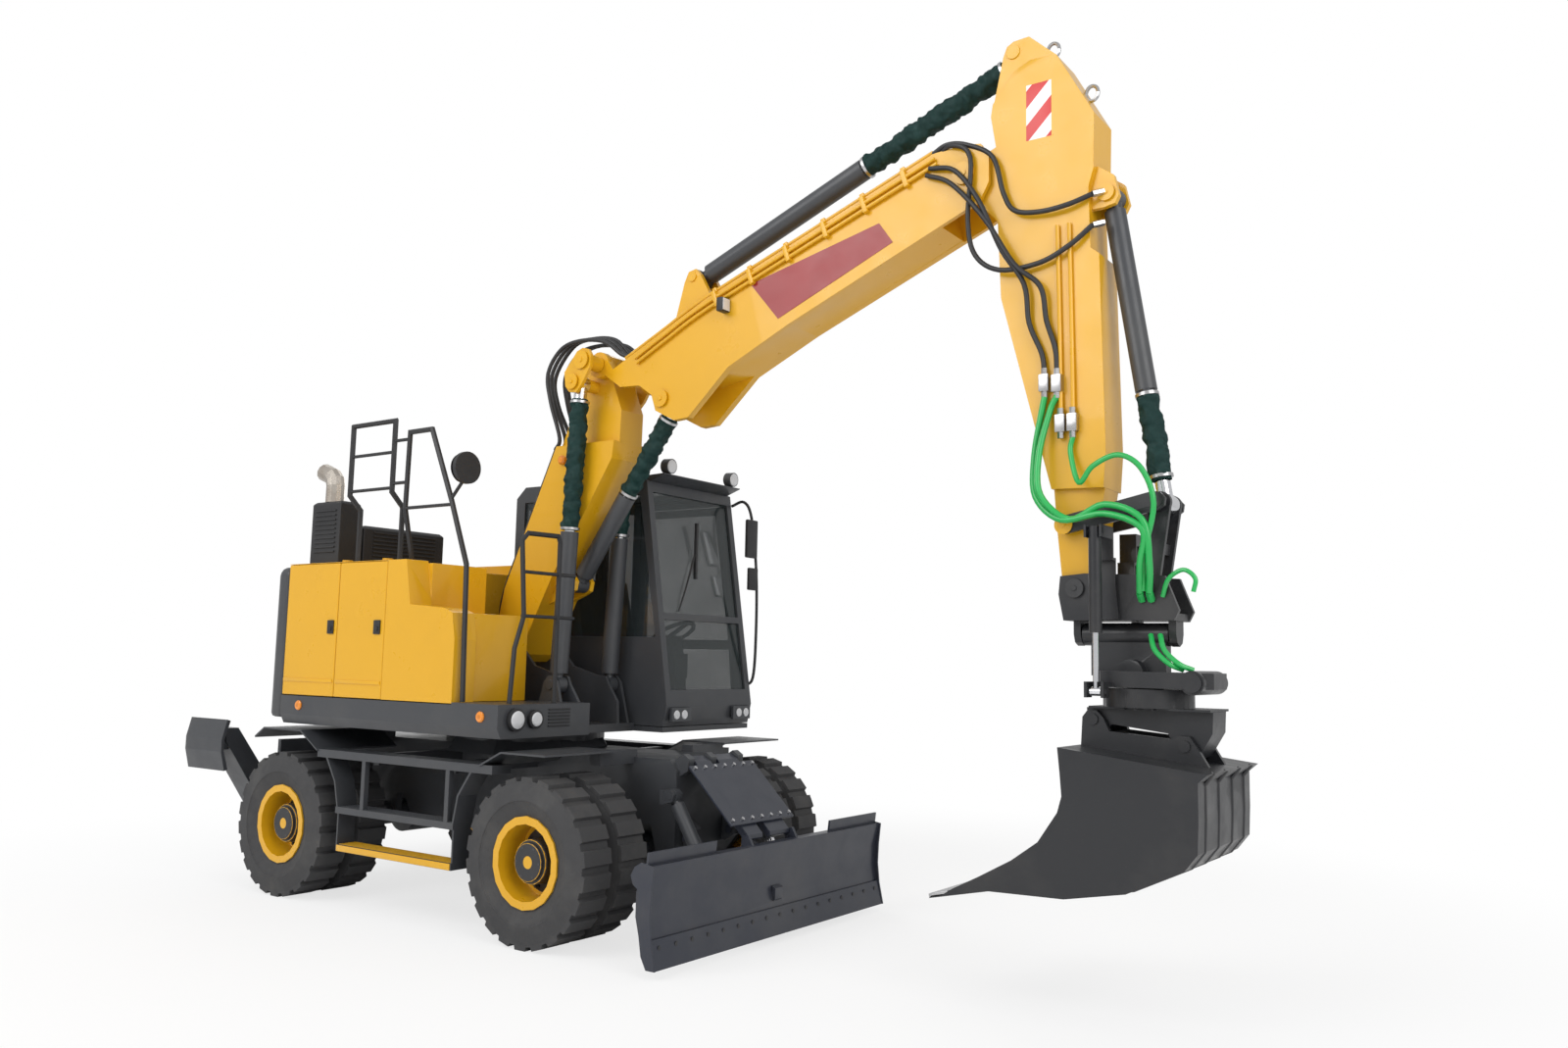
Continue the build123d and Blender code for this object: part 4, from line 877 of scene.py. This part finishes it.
@dataclass
class Sleeves:
    """The wrinkled green-black sleeves over the arm's rods, with their straps, rods and eyes."""

    palette: Palette
    fold_pitch: float = 0.03
    wall: float = 0.003
    around: int = 36
    steps_per_fold: int = 5
    tuck_length: float = 0.035
    tied_share: float = 0.78
    loose_share: float = 0.06
    fold_share: float = 0.26
    girth_share: float = 0.88
    runs: tuple[SleeveRun, ...] = (
        SleeveRun("lift", (-0.6, 1.6), (-0.486, 3.772), (0.097, -0.427), 1.105, 2.060, 0.075, 0.038, 1.581,
                  0.040, 0.056, "lift_barrels", "lift_rods"),
        SleeveRun("adjust", (-0.69, 2.33), (0.215, 3.605), (BOOM_Y,), 0.792, 1.443, 0.076, 0.038, 1.035,
                  0.050, 0.058, "adjust_barrel", "adjust_rod"),
        SleeveRun("stick", (0.4, 4.47), (2.842, 5.425), (BOOM_Y,), 1.450, 2.522, 0.081, 0.036, 1.587,
                  0.080, 0.058, "stick_barrel", "stick_rod"),
        SleeveRun("bucket", (3.39, 4.455), (3.669, 2.688), (BOOM_Y,), 1.162, 1.659, 0.069, 0.034, 1.180,
                  0.066, 0.054, "bucket_barrel", "bucket_rod"),
    )

    def build(self) -> None:
        """Make every rod, its eye, its straps and its sleeve."""
        for run in self.runs:
            rods = bmesh.new()
            straps = {run.barrel_body: bmesh.new(), run.rod_body: bmesh.new()}
            for number, y in enumerate(run.sides):
                base, eye = at(*run.base, y), at(*run.eye, y)
                along = (eye - base).normalized()
                across = Vector((0, run.eye_half, 0))
                Mesher.rod(rods, eye - along * run.rod_length, eye, run.rod, 24)
                Mesher.rod(rods, eye - across, eye + across, run.eye_radius, 32)
                Mesher.rod(rods, eye - along * 0.12, eye - along * 0.02, run.rod * 1.25, 24)
                self.cloth(run, f"{run.name}_sleeve_{number}", base, along)
                for body, place in ((run.barrel_body, run.near + 0.012), (run.rod_body, run.far - 0.022)):
                    Mesher.rod(straps[body], base + along * (place - 0.009), base + along * (place + 0.009),
                               run.radius * 0.93, 28)
            piece = Mesher.finish(f"{run.name}_rod_and_eye", rods, self.palette.chrome, run.rod_body)
            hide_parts(run.rod_body)
            for body, bm in straps.items():
                Mesher.finish(f"{body}_sleeve_strap", bm, self.palette.steel, body)

    def cloth(self, run: SleeveRun, name: str, base: Vector, along: Vector) -> None:
        """Args:
            run: The cylinder that the sleeve belongs to.
            name: The piece's name.
            base: The cylinder's foot.
            along: The cylinder's direction.
        """
        bm = bmesh.new()
        length = run.far - run.near
        steps = int(length / self.fold_pitch * self.steps_per_fold)
        sides = self.around
        turn = along.to_track_quat("Z", "Y").to_matrix()
        rings = []
        for step in range(steps + 1):
            share = step / steps
            tuck = min(1.0, min(share, 1 - share) * length / self.tuck_length)
            ring = []
            for k in range(sides):
                angle = 2 * math.pi * k / sides
                where = Vector((math.cos(angle) * 1.1, math.sin(angle) * 1.1,
                                share * length / self.fold_pitch / 2.2))
                wave = noise.noise(where) * 1.0 + noise.noise(where * 2.3) * 0.5
                swell = self.loose_share + self.fold_share * max(-0.55, min(0.6, wave))
                radius = run.radius * (self.tied_share + tuck * swell)
                local = Vector((radius * math.cos(angle), radius * math.sin(angle),
                                run.near + share * length))
                ring.append(bm.verts.new(base + turn @ local))
            rings.append(ring)
        for near, far in zip(rings, rings[1:]):
            for k in range(sides):
                after = (k + 1) % sides
                bm.faces.new((near[k], near[after], far[after], far[k]))
        area = sum(face.calc_area() for face in bm.faces)
        bmesh.ops.solidify(bm, geom=list(bm.faces), thickness=self.wall)
        mesh = bpy.data.meshes.new(name)
        bm.to_mesh(mesh)
        bm.free()
        piece = bpy.data.objects.new(name, mesh)
        bpy.context.scene.collection.objects.link(piece)
        mesh.materials.append(self.palette.fabric)
        mesh.shade_smooth()
        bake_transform(piece)


@dataclass
class Wheels:
    """Dark hubs, nut rings and tyre sidewall ribs of the four twin wheels."""

    palette: Palette
    repeater: Repeater
    nuts: int = 10

    def build(self) -> None:
        """Dress each wheel."""
        for end, x in (("front", 0.0), ("rear", -WHEELBASE)):
            for name, side in (("left", 1), ("right", -1)):
                self.wheel(f"wheel_{end}_{name}", Vector((x, 0, TYRE_RADIUS)), side)

    def wheel(self, body: str, centre: Vector, side: int) -> None:
        """Add the hub, its bolts and the wheel nuts, and the raised rings of the tyre.

        Args:
            body: The wheel's body.
            centre: The wheel's centre.
            side: 1 for the left side and -1 for the right.
        """
        out = Vector((0, side, 0))
        hub = bmesh.new()
        Mesher.spun(hub, [(1.0525, 0.205), (1.060, 0.205), (1.066, 0.150), (1.075, 0.1405), (1.188, 0.1405),
                          (1.197, 0.132), (1.198, 0.121), (1.214, 0.120), (1.2195, 0.112), (1.2195, 0.04),
                          (1.214, 0.036)], centre, out, 48)
        Mesher.finish(f"{body}_hub", hub, self.palette.casting, body)
        for label, radius, depth, size, count in (("nuts", 0.178, 1.060, 0.016, self.nuts),
                                                  ("cap_bolts", 0.098, 1.2175, 0.008, 6)):
            bolt = bmesh.new()
            seat = Vector((radius, side * depth, 0))
            Mesher.rod(bolt, seat, seat + out * size * (1.1 if label == "nuts" else 0.4), size, 6)
            if label == "nuts":
                Mesher.rod(bolt, seat, seat + out * 0.034, 0.009, 10)
            finish = self.palette.casting if label == "nuts" else self.palette.grey
            self.repeater.repeat(f"{body}_{label}", bolt, count, finish, body, start=tuple(centre),
                                 axis=(0, 1, 0), turn=2 * math.pi / count)
        ribs = bmesh.new()
        for radius in (0.332, 0.372, 0.384):
            inset = 0.0 if radius > 0.38 else (0.388 - radius) * 0.42
            face = OUTER_TYRE_Y + 0.139 - inset
            section = [(face - 0.004, radius - 0.005), (face, radius - 0.003), (face, radius + 0.003),
                       (face - 0.004, radius + 0.005)]
            Mesher.spun(ribs, section, centre, out, 88, True)
        Mesher.finish(f"{body}_sidewall_rings", ribs, self.palette.tyre, body)
        valve = bmesh.new()
        root, tip = Vector((0.215, side * 1.06, 0.06)), Vector((0.225, side * 1.13, 0.062))
        Mesher.rod(valve, centre + root, centre + tip, 0.006, 10)
        Mesher.finish(f"{body}_valve", valve, self.palette.steel, body)


@dataclass
class ArmLines:
    """Steel pipes, rubber hoses, clamps, valves and the green hoses of the arm."""

    palette: Palette
    repeater: Repeater
    pipe: float = 0.012
    hose: float = 0.015
    nose_routes: tuple[tuple[Point, ...], ...] = (
        ((2.33, 4.90, -0.332), (2.43, 4.93, -0.345), (2.56, 4.90, -0.345), (2.73, 4.787, -0.345),
         (2.80, 4.55, -0.345), (2.87, 4.43, -0.345), (3.02, 4.392, -0.345), (3.19, 4.40, -0.345),
         (3.33, 4.44, -0.325)),
        ((2.33, 4.88, -0.302), (2.47, 4.91, -0.36), (2.60, 4.80, -0.375), (2.585, 4.42, -0.375),
         (2.63, 4.20, -0.37), (2.78, 4.085, -0.36), (3.02, 4.09, -0.345), (3.2, 4.16, -0.345),
         (3.33, 4.26, -0.325)),
        ((2.32, 4.80, -0.363), (2.50, 4.74, -0.38), (2.66, 4.52, -0.385), (2.80, 4.20, -0.375),
         (2.93, 3.98, -0.35), (2.955, 3.75, -0.335), (3.03, 3.56, -0.33), (3.045, 3.43, -0.33)),
        ((2.30, 4.76, -0.363), (2.48, 4.66, -0.385), (2.70, 4.40, -0.39), (2.88, 4.10, -0.38),
         (3.03, 3.95, -0.355), (3.06, 3.75, -0.335), (3.11, 3.58, -0.33), (3.12, 3.43, -0.33)),
    )
    green_radii: tuple[float, ...] = (0.015, 0.018, 0.018)
    green_routes: tuple[tuple[Point, ...], ...] = (
        ((3.21, 3.07, -0.33), (3.20, 2.98, -0.34), (3.27, 2.80, -0.40), (3.36, 2.88, -0.43),
         (3.50, 2.93, -0.43), (3.62, 2.85, -0.42), (3.68, 2.66, -0.41), (3.62, 2.40, -0.39),
         (3.60, 2.21, -0.345)),
        ((3.045, 3.31, -0.33), (3.03, 3.23, -0.335), (2.99, 2.97, -0.35), (3.01, 2.74, -0.38),
         (3.17, 2.60, -0.41), (3.42, 2.62, -0.42), (3.62, 2.53, -0.42), (3.60, 2.35, -0.40),
         (3.58, 2.20, -0.345)),
        ((3.12, 3.31, -0.33), (3.08, 3.23, -0.335), (3.04, 2.97, -0.40), (3.06, 2.74, -0.43),
         (3.22, 2.60, -0.41), (3.42, 2.67, -0.42), (3.62, 2.58, -0.42), (3.65, 2.35, -0.40),
         (3.63, 2.20, -0.345)),
    )
    hook_route: tuple[Point, ...] = (
        (3.69, 2.18, -0.315), (3.73, 2.27, -0.34), (3.81, 2.315, -0.35), (3.87, 2.27, -0.35),
        (3.86, 2.2, -0.35),
    )
    tail_route: tuple[Point, ...] = (
        (3.62, 1.98, -0.30), (3.66, 1.90, -0.36), (3.74, 1.83, -0.38), (3.80, 1.80, -0.34),
    )

    def build(self) -> None:
        """Lay every line from the boom's foot to the tool."""
        self.lower_pipes()
        self.upper_pipes()
        self.elbow_loops()
        self.nose_loops()
        self.green_hoses()

    def lower_pipes(self) -> None:
        """Lay pipes up the back of the lower boom."""
        pipes = bmesh.new()
        for row in range(5):
            y = BOOM_Y - 0.15 + row * 0.06
            route = [at(-1.32, 1.98, y), at(-1.355, 2.12, y), at(-1.312, 2.31, y), at(-1.16, 2.64, y),
                     at(-1.043, 2.895, y), at(-0.93, 3.13, y), at(-0.823, 3.36, y)]
            tube(pipes, route, self.pipe)
        Mesher.finish("lower_boom_pipes", pipes, self.palette.black, "lower_boom")
        clamp = bmesh.new()
        Mesher.box(clamp, (-0.012, -0.17, -0.02), (0.022, 0.11, 0.02), 0.003)
        bmesh.ops.rotate(clamp, verts=clamp.verts, cent=(0, 0, 0), matrix=Matrix.Rotation(0.43, 3, "Y"))
        self.repeater.repeat("lower_boom_clamps", clamp, 4, self.palette.grey, "lower_boom",
                             start=(-1.246, BOOM_Y, 2.42), step=(0.127, 0, 0.272))

    def upper_pipes(self) -> None:
        """Lay pipes along the top and the right side of the upper boom."""
        pipes = bmesh.new()
        lift = Vector((-0.423, 0, 0.906))
        knee, nose = at(0.582, 4.259), at(2.335, 4.896)
        for row, y in enumerate((-0.332, -0.302, -0.03, 0.0)):
            off = Vector((0, y - BOOM_Y, 0)) + lift * 0.016
            tube(pipes, [at(-0.14, 3.925) + off, at(0.2, 4.083) + off, knee + off, knee.lerp(nose, 0.5) + off,
                         nose + off - Vector((0.02 * row, 0, 0.008 * row))], self.pipe)
        for drop in (0.045, 0.085):
            off = Vector((0, -BOOM_HALF - self.pipe - 0.006, 0)) - lift * drop
            tube(pipes, [at(-0.05, 3.96) + off, at(0.2, 4.083) + off, knee + off, knee.lerp(nose, 0.5) + off,
                         nose + off], self.pipe)
        Mesher.finish("upper_boom_pipes", pipes, self.palette.yellow, "upper_boom")
        slope = -math.atan2(nose.z - knee.z, nose.x - knee.x)
        clamp = bmesh.new()
        Mesher.box(clamp, (-0.016, -BOOM_HALF - 0.034, -0.11), (0.016, -BOOM_HALF + 0.001, 0.004), 0.003)
        Mesher.box(clamp, (-0.016, -BOOM_HALF - 0.005, -0.002), (0.016, -BOOM_HALF + 0.075, 0.036), 0.003)
        bmesh.ops.rotate(clamp, verts=clamp.verts, cent=(0, 0, 0), matrix=Matrix.Rotation(slope, 3, "Y"))
        step = (nose - knee) / 6
        self.repeater.repeat("upper_boom_clamps", clamp, 6, self.palette.yellow, "upper_boom",
                             start=tuple(knee + step * 0.3), step=tuple(step))

    def elbow_loops(self) -> None:
        """Loop rubber hoses behind the elbow, from the lower boom's pipes to the upper boom's."""
        hoses = bmesh.new()
        for row in range(5):
            y = BOOM_Y - 0.15 + row * 0.06
            wide = 0.02 * (row % 3)
            tube(hoses, [at(-0.84, 3.33, y), at(-0.80, 3.42, y), at(-0.90 - wide, 3.70, y - 0.01),
                         at(-0.93 - wide, 3.92, y - 0.02), at(-0.80, 4.09 + wide, y - 0.02),
                         at(-0.60, 4.13 + wide, y - 0.02), at(-0.36, 4.09 + wide, y - 0.02),
                         at(-0.2, 3.98, y - 0.01), at(-0.12, 3.95, y)], self.hose, 12)
        piece = Mesher.finish("elbow_hoses", hoses, self.palette.hose, "lower_boom")
        self.across(piece, "lower_boom", "upper_boom", at(-0.90, 3.62), at(-0.25, 4.05))

    def nose_loops(self) -> None:
        """Loop rubber hoses round the stick's pivot and down its right side."""
        hoses = bmesh.new()
        for route in self.nose_routes:
            tube(hoses, [at(*point) for point in route], self.hose, 12)
        piece = Mesher.finish("nose_hoses", hoses, self.palette.hose, "upper_boom")
        self.across(piece, "upper_boom", "stick", at(2.36, 4.85), at(2.92, 4.30))
        valves = bmesh.new()
        for x, z in ((3.045, 3.39), (3.12, 3.38), (3.21, 3.15), (3.14, 3.15)):
            Mesher.box(valves, (x - 0.03, -0.352, z - 0.05), (x + 0.03, -0.303, z + 0.05), 0.006)
            Mesher.rod(valves, at(x, z + 0.045, -0.33), at(x, z + 0.085, -0.33), 0.019, 6)
            Mesher.rod(valves, at(x, z - 0.085, -0.33), at(x, z - 0.045, -0.33), 0.019, 6)
        for x, z in ((3.33, 4.45), (3.33, 4.27)):
            Mesher.rod(valves, at(x, z - 0.01, -0.325), at(x + 0.05, z + 0.01, -0.28), 0.02, 6)
        Mesher.finish("stick_valves", valves, self.palette.steel, "stick")
        pipes = bmesh.new()
        for x in (3.14, 3.21):
            tube(pipes, [at(x - 0.02, 4.3, -0.318), at(x - 0.01, 3.8, -0.318), at(x, 3.22, -0.325)],
                 self.pipe)
        Mesher.finish("stick_pipes", pipes, self.palette.yellow, "stick")

    def green_hoses(self) -> None:
        """Hang three green-guarded hoses from the stick's valves to the tilting tool."""
        hoses = bmesh.new()
        for route, radius in zip(self.green_routes, self.green_radii):
            tube(hoses, [at(*point) for point in route], radius, 12)
        piece = Mesher.finish("green_hoses", hoses, self.palette.green, "stick")
        self.across(piece, "stick", "tilt_head", at(3.05, 2.75), at(3.55, 2.45))
        hook = bmesh.new()
        tube(hook, [at(*point) for point in self.hook_route], 0.012, 10)
        for x in (3.58, 3.63):
            Mesher.rod(hook, at(x, 2.20, -0.345), at(x, 2.16, -0.31), 0.02, 6)
        Mesher.finish("green_hook", hook, self.palette.green, "tilt_head")
        tail = bmesh.new()
        for shift in (0.0, 0.05):
            tube(tail, [at(x + shift, z, y) for x, z, y in self.tail_route], 0.014, 10)
        Mesher.finish("rotor_hoses", tail, self.palette.green, "tilt_frame")

    def across(self, piece: bpy.types.Object, near: str, far: str, start: Vector, end: Vector) -> None:
        """Take a hose piece that spans two bodies off the body it rode on, so that it stays where it was
        built.

        Args:
            piece: The hoses.
            near: The body at their first end. Not used.
            far: The body at their other end. Not used.
            start: Not used.
            end: Not used.
        """
        world = piece.matrix_world.copy()
        piece.parent = None
        piece.matrix_world = world
        if "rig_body" in piece:
            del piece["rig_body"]
        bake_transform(piece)


@dataclass
class Fittings:
    """Lamps, plates, louvres, handles and other small hardware of the house, cab and arm."""

    palette: Palette
    repeater: Repeater
    side: float = -1.245

    def build(self) -> None:
        """Add every fitting."""
        self.lamps()
        self.plates()
        self.louvres()
        self.latches()
        self.cab()
        self.tool()
        self.blade_and_bucket()

    def lamps(self) -> None:
        """Add round amber markers, headlamps, cab lamps and the boom's work lamp."""
        amber = bmesh.new()
        for x in (-2.458, -0.464):
            for y in (self.side + 0.0005, -self.side - 0.0005):
                out = Vector((0, math.copysign(1, y), 0))
                place = Vector((x, y, 1.40))
                Mesher.spun(amber, [(-0.004, 0.036), (0.008, 0.036), (0.014, 0.030), (0.016, 0.012)], place,
                            out, 32)
        Mesher.finish("amber_markers", amber, self.palette.amber, "house")
        beacon = bmesh.new()
        Mesher.spun(beacon, [(0.0, 0.034), (0.022, 0.034), (0.03, 0.026), (0.032, 0.01)],
                    at(-0.72, 3.24, -0.3455), Vector((0, -1, 0)), 28)
        Mesher.finish("boom_amber_lamp", beacon, self.palette.amber, "lower_boom")
        cases, lenses = bmesh.new(), bmesh.new()
        for y, z, radius in ((-1.10, 1.385, 0.062), (-0.93, 1.385, 0.05)):
            place = Vector((-0.302, y, z))
            Mesher.spun(cases, [(0.0, radius + 0.012), (0.03, radius + 0.012), (0.034, radius)], place,
                        Vector((1, 0, 0)), 32)
            Mesher.spun(lenses, [(0.033, radius * 0.96), (0.040, radius * 0.8), (0.043, radius * 0.3)], place,
                        Vector((1, 0, 0)), 32)
        for y in (0.34, 1.12):
            Mesher.spun(lenses, [(0.0, 0.052), (0.006, 0.046), (0.008, 0.02)], Vector((-0.2505, y, 3.258)),
                        Vector((1, 0, -0.05)), 32)
        for y in (0.30, 0.39, 1.06, 1.15):
            Mesher.spun(lenses, [(0.0, 0.034), (0.004, 0.030), (0.006, 0.012)], Vector((-0.0965, y, 1.39)),
                        Vector((1, 0, 0)), 28)
        Mesher.finish("lamp_cases", cases, self.palette.black, "house")
        Mesher.finish("lamp_lenses", lenses, self.palette.lens, "house")
        work = bmesh.new()
        Mesher.box(work, (0.745, -0.43, 4.13), (0.80, -0.345, 4.225), 0.01)
        Mesher.finish("boom_work_lamp_case", work, self.palette.black, "upper_boom")
        face = bmesh.new()
        Mesher.box(face, (0.7995, -0.424, 4.137), (0.803, -0.352, 4.218), 0.001)
        Mesher.finish("boom_work_lamp_lens", face, self.palette.lens, "upper_boom")

    def plates(self) -> None:
        """Add the chevron plate and the blank dark panel, on both sides where the arm shows both."""
        chevron, panel = bmesh.new(), bmesh.new()
        for y in (-0.3055, -0.0285):
            Mesher.box(chevron, (2.926, y, 4.85), (3.082, y + 0.004, 5.19), 0.001)
        outline = ((0.97, 4.30), (1.20, 4.03), (2.06, 4.39), (1.96, 4.53))
        for y, depth in ((-0.3455, -0.002), (0.0155, 0.002)):
            ring = [panel.verts.new(at(x, z, y)) for x, z in outline]
            face = panel.faces.new(ring)
            grown = bmesh.ops.extrude_face_region(panel, geom=[face])
            moved = [g for g in grown["geom"] if isinstance(g, bmesh.types.BMVert)]
            bmesh.ops.translate(panel, verts=moved, vec=(0, depth, 0))
        bmesh.ops.recalc_face_normals(panel, faces=panel.faces)
        Mesher.finish("stick_chevrons", chevron, self.palette.chevron, "stick")
        Mesher.finish("boom_blank_panels", panel, self.palette.panel, "upper_boom")
        rings = bmesh.new()
        for x, z in ((3.04, 5.437), (3.275, 5.11)):
            start = at(x, z)
            tube(rings, [start + Vector((0.036 * math.cos(a), 0, 0.045 * math.sin(a)))
                         for a in (2 * math.pi * k / 12 for k in range(13))], 0.011, 8, 3)
        Mesher.finish("lifting_rings", rings, self.palette.steel, "stick")

    def louvres(self) -> None:
        """Add louvre rows on the muffler cover, the deck's front and the engine hood."""
        for name, size, start, step, count in (
            ("cover_louvres", (0.26, 0.012, 0.012), (-2.51, -1.084, 2.56), (0, 0, 0.035), 10),
            ("hood_louvres", (0.012, 0.60, 0.012), (-2.326, -0.475, 2.52), (0, 0, 0.03), 8),
            ("deck_louvres", (0.012, 0.20, 0.010), (-0.298, -0.70, 1.335), (0, 0, 0.022), 6),
        ):
            slat = bmesh.new()
            half = Vector(size) / 2
            Mesher.box(slat, tuple(-half), tuple(half), 0.003)
            body = "engine_hood" if name == "hood_louvres" else "house"
            self.repeater.repeat(name, slat, count, self.palette.black, body, start=start, step=step)

    def latches(self) -> None:
        """Add door latches, the doors' pressed lines and the walkway's grip strips."""
        for node, x, out in (("door_right_rear", -2.12, -1), ("door_right_middle", -1.58, -1),
                             ("door_left", -1.96, 1)):
            latch = bmesh.new()
            y = out * 1.245
            for half, proud, bottom, top, soft in ((0.035, 0.012, 1.93, 2.03, 0.005),
                                                   (0.02, 0.02, 1.95, 1.985, 0.003)):
                near, far = sorted((y, y + out * proud))
                Mesher.box(latch, (x - half, near, bottom), (x + half, far, top), soft)
            Mesher.finish(f"{node}_latch", latch, self.palette.black, node)
            band = bmesh.new()
            low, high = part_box(node)
            near, far = sorted((y, y + out * 0.006))
            Mesher.box(band, (low[0] + 0.012, near, 1.575), (high[0] - 0.012, far, 1.60), 0.0025)
            Mesher.finish(f"{node}_pressed_line", band, self.palette.yellow, node)
        strip = bmesh.new()
        Mesher.box(strip, (-0.6, -0.004, 0), (0.6, 0.004, 0.004), 0.0015)
        for name, z, finish in (("low_tread_left", 0.446, self.palette.yellow),
                                ("mid_tread_left", 0.706, self.palette.grey)):
            for side, label in ((1, ""), (-1, "_right")):
                self.repeater.repeat(f"{name}{label}", strip.copy(), 6, finish, "chassis",
                                     start=(-1.295, side * 1.105, z), step=(0, side * 0.024, 0))
        strip.free()
        edge = bmesh.new()
        for side in (1, -1):
            Mesher.box(edge, (-1.90, min(side * 1.2455, side * 1.249), 0.402),
                       (-0.69, max(side * 1.2455, side * 1.249), 0.444), 0.001)
        Mesher.finish("low_step_edges", edge, self.palette.yellow, "chassis")

    def cab(self) -> None:
        """Add the wiper, the grab handles, the mirror loop and the cab's rubber frame."""
        trim = bmesh.new()
        tube(trim, [Vector((-0.235, 0.45, 2.16)), Vector((-0.25, 0.55, 2.35)), Vector((-0.30, 0.72, 2.66))],
             0.007, 8)
        Mesher.box(trim, (-0.30, 0.69, 2.42), (-0.275, 0.715, 2.86), 0.004)
        tube(trim, [Vector((-0.36, 1.24, 3.06)), Vector((-0.25, 1.262, 3.09)), Vector((-0.17, 1.265, 2.95)),
                    Vector((-0.11, 1.265, 2.5)), Vector((-0.10, 1.265, 2.0)), Vector((-0.12, 1.262, 1.66)),
                    Vector((-0.19, 1.24, 1.60))], 0.012, 10)
        Mesher.box(trim, (-0.135, 1.13, 2.62), (-0.105, 1.27, 2.93), 0.012)
        Mesher.box(trim, (-0.12, 1.15, 2.36), (-0.095, 1.27, 2.54), 0.01)
        Mesher.finish("cab_trim", trim, self.palette.black, "house")
        mirrors = bmesh.new()
        Mesher.box(mirrors, (-0.1385, 1.14, 2.635), (-0.1345, 1.26, 2.915), 0.001)
        Mesher.box(mirrors, (-0.1235, 1.16, 2.37), (-0.1195, 1.26, 2.53), 0.001)
        Mesher.rod(mirrors, Vector((-0.7825, -1.228, 3.06)), Vector((-0.7845, -1.228, 3.06)), 0.10, 32)
        Mesher.finish("mirror_faces", mirrors, self.palette.mirror, "house")

    def tool(self) -> None:
        """Add the tiltrotator's worm housing, blank round plate, bolts and pin caps."""
        worm = bmesh.new()
        Mesher.rod(worm, Vector((3.855, -0.385, 1.735)), Vector((3.855, 0.055, 1.735)), 0.062, 28)
        Mesher.rod(worm, Vector((3.855, -0.397, 1.735)), Vector((3.855, -0.385, 1.735)), 0.05, 28)
        Mesher.finish("worm_housing", worm, self.palette.tool, "tilt_frame")
        bolt = bmesh.new()
        Mesher.rod(bolt, Vector((0.205, 0, 0)), Vector((0.205, 0, -0.012)), 0.013, 6)
        self.repeater.repeat("rotor_bolts", bolt, 16, self.palette.casting, "bucket",
                             start=(3.56, BOOM_Y, 1.5985), axis=(0, 0, 1), turn=2 * math.pi / 16)
        for body, pins, reach in (
            ("stick", ((3.157, 2.58, 0.052), (3.39, 4.455, 0.05)), 0.0),
            ("tilt_head", ((3.208, 2.232, 0.052), (3.596, 2.226, 0.05)), 0.152),
            ("upper_boom", ((2.545, 4.725, 0.07), (0.215, 3.605, 0.062)), 0.192),
            ("lower_boom", ((-0.4, 3.92, 0.066), (-0.486, 3.772, 0.058)), 0.362),
        ):
            caps = bmesh.new()
            for x, z, radius in pins:
                half = reach or (0.176 if radius == 0.052 else 0.114)
                for out in (-1, 1):
                    start = at(x, z, BOOM_Y + out * (half - 0.001))
                    Mesher.rod(caps, start, start + Vector((0, out * 0.008, 0)), radius, 28)
                    Mesher.rod(caps, start, start + Vector((0, out * 0.014, 0)), radius * 0.3, 6)
            Mesher.finish(f"{body}_pin_caps", caps, self.palette.casting if body == "tilt_head"
                          else self.palette.yellow, body)

    def blade_and_bucket(self) -> None:
        """Add the blade's bolts, the cover's bolts, and the bucket's wear strips."""
        bolt = bmesh.new()
        Mesher.rod(bolt, Vector((0, 0, 0)), Vector((0.010, 0, 0)), 0.014, 6)
        self.repeater.repeat("blade_edge_bolts", bolt, 17, self.palette.casting, "blade",
                             start=(1.0665, -1.2, 0.165), step=(0, 0.15, 0))
        bolt = bmesh.new()
        Mesher.rod(bolt, Vector((0, 0, 0)), Vector((0.009, 0, 0.009)), 0.013, 6)
        for label, x, z in (("low", 0.905, 0.775), ("high", 0.585, 1.085)):
            self.repeater.repeat(f"cover_bolts_{label}", bolt.copy(), 7, self.palette.steel, "blade_cover",
                                 start=(x, -0.315, z), step=(0, 0.105, 0))
        bolt.free()
        ribs = bmesh.new()
        outline = ((3.995, 1.30), (3.951, 1.24), (3.9512, 1.076), (3.945, 0.922), (3.881, 0.839),
                   (3.591, 0.696), (3.269, 0.632), (2.90, 0.622))
        for y in (-0.52, -0.29, -0.04, 0.19):
            for (x0, z0), (x1, z1) in zip(outline, outline[1:]):
                a, b = at(x0, z0, y), at(x1, z1, y)
                inward = Vector((-(b - a).z, 0, (b - a).x)).normalized() * -0.006
                Mesher.rod(ribs, a + inward, b + inward, 0.012, 8)
        Mesher.finish("bucket_wear_strips", ribs, self.palette.tool, "bucket")
        edge = bmesh.new()
        Mesher.box(edge, (2.502, -0.643, 0.543), (2.62, 0.313, 0.566), 0.004)
        bmesh.ops.rotate(edge, verts=edge.verts, cent=(2.5, 0, 0.545), matrix=Matrix.Rotation(-0.25, 3, "Y"))
        Mesher.finish("bucket_cutting_edge", edge, self.palette.steel, "bucket")


def body_table() -> dict[str, str]:
    """Find the body that carries each CAD node.

    Returns:
        The body's name by the node's name.
    """
    bodies = frame["record"]["behaviour"]["bodies"]
    return {node: body for body, nodes in bodies.items() for node in nodes}


def main() -> None:
    """Build the scene in order."""
    logging.basicConfig(level=logging.INFO, format="%(name)s: %(message)s")
    frame["body_of"] = body_table()
    bpy.context.scene.view_settings.view_transform = "Standard"
    PhotoCamera().build()
    Studio().build()
    palette = Palette()
    NodeFinishes(palette).dress()
    LOG.info("dressed the rigid nodes")
    repeater = Repeater()
    for assembly in (Sleeves(palette), Wheels(palette, repeater), ArmLines(palette, repeater),
                     Fittings(palette, repeater)):
        assembly.build()
        LOG.info("built %s", type(assembly).__name__)


if __name__ == "__main__":
    main()
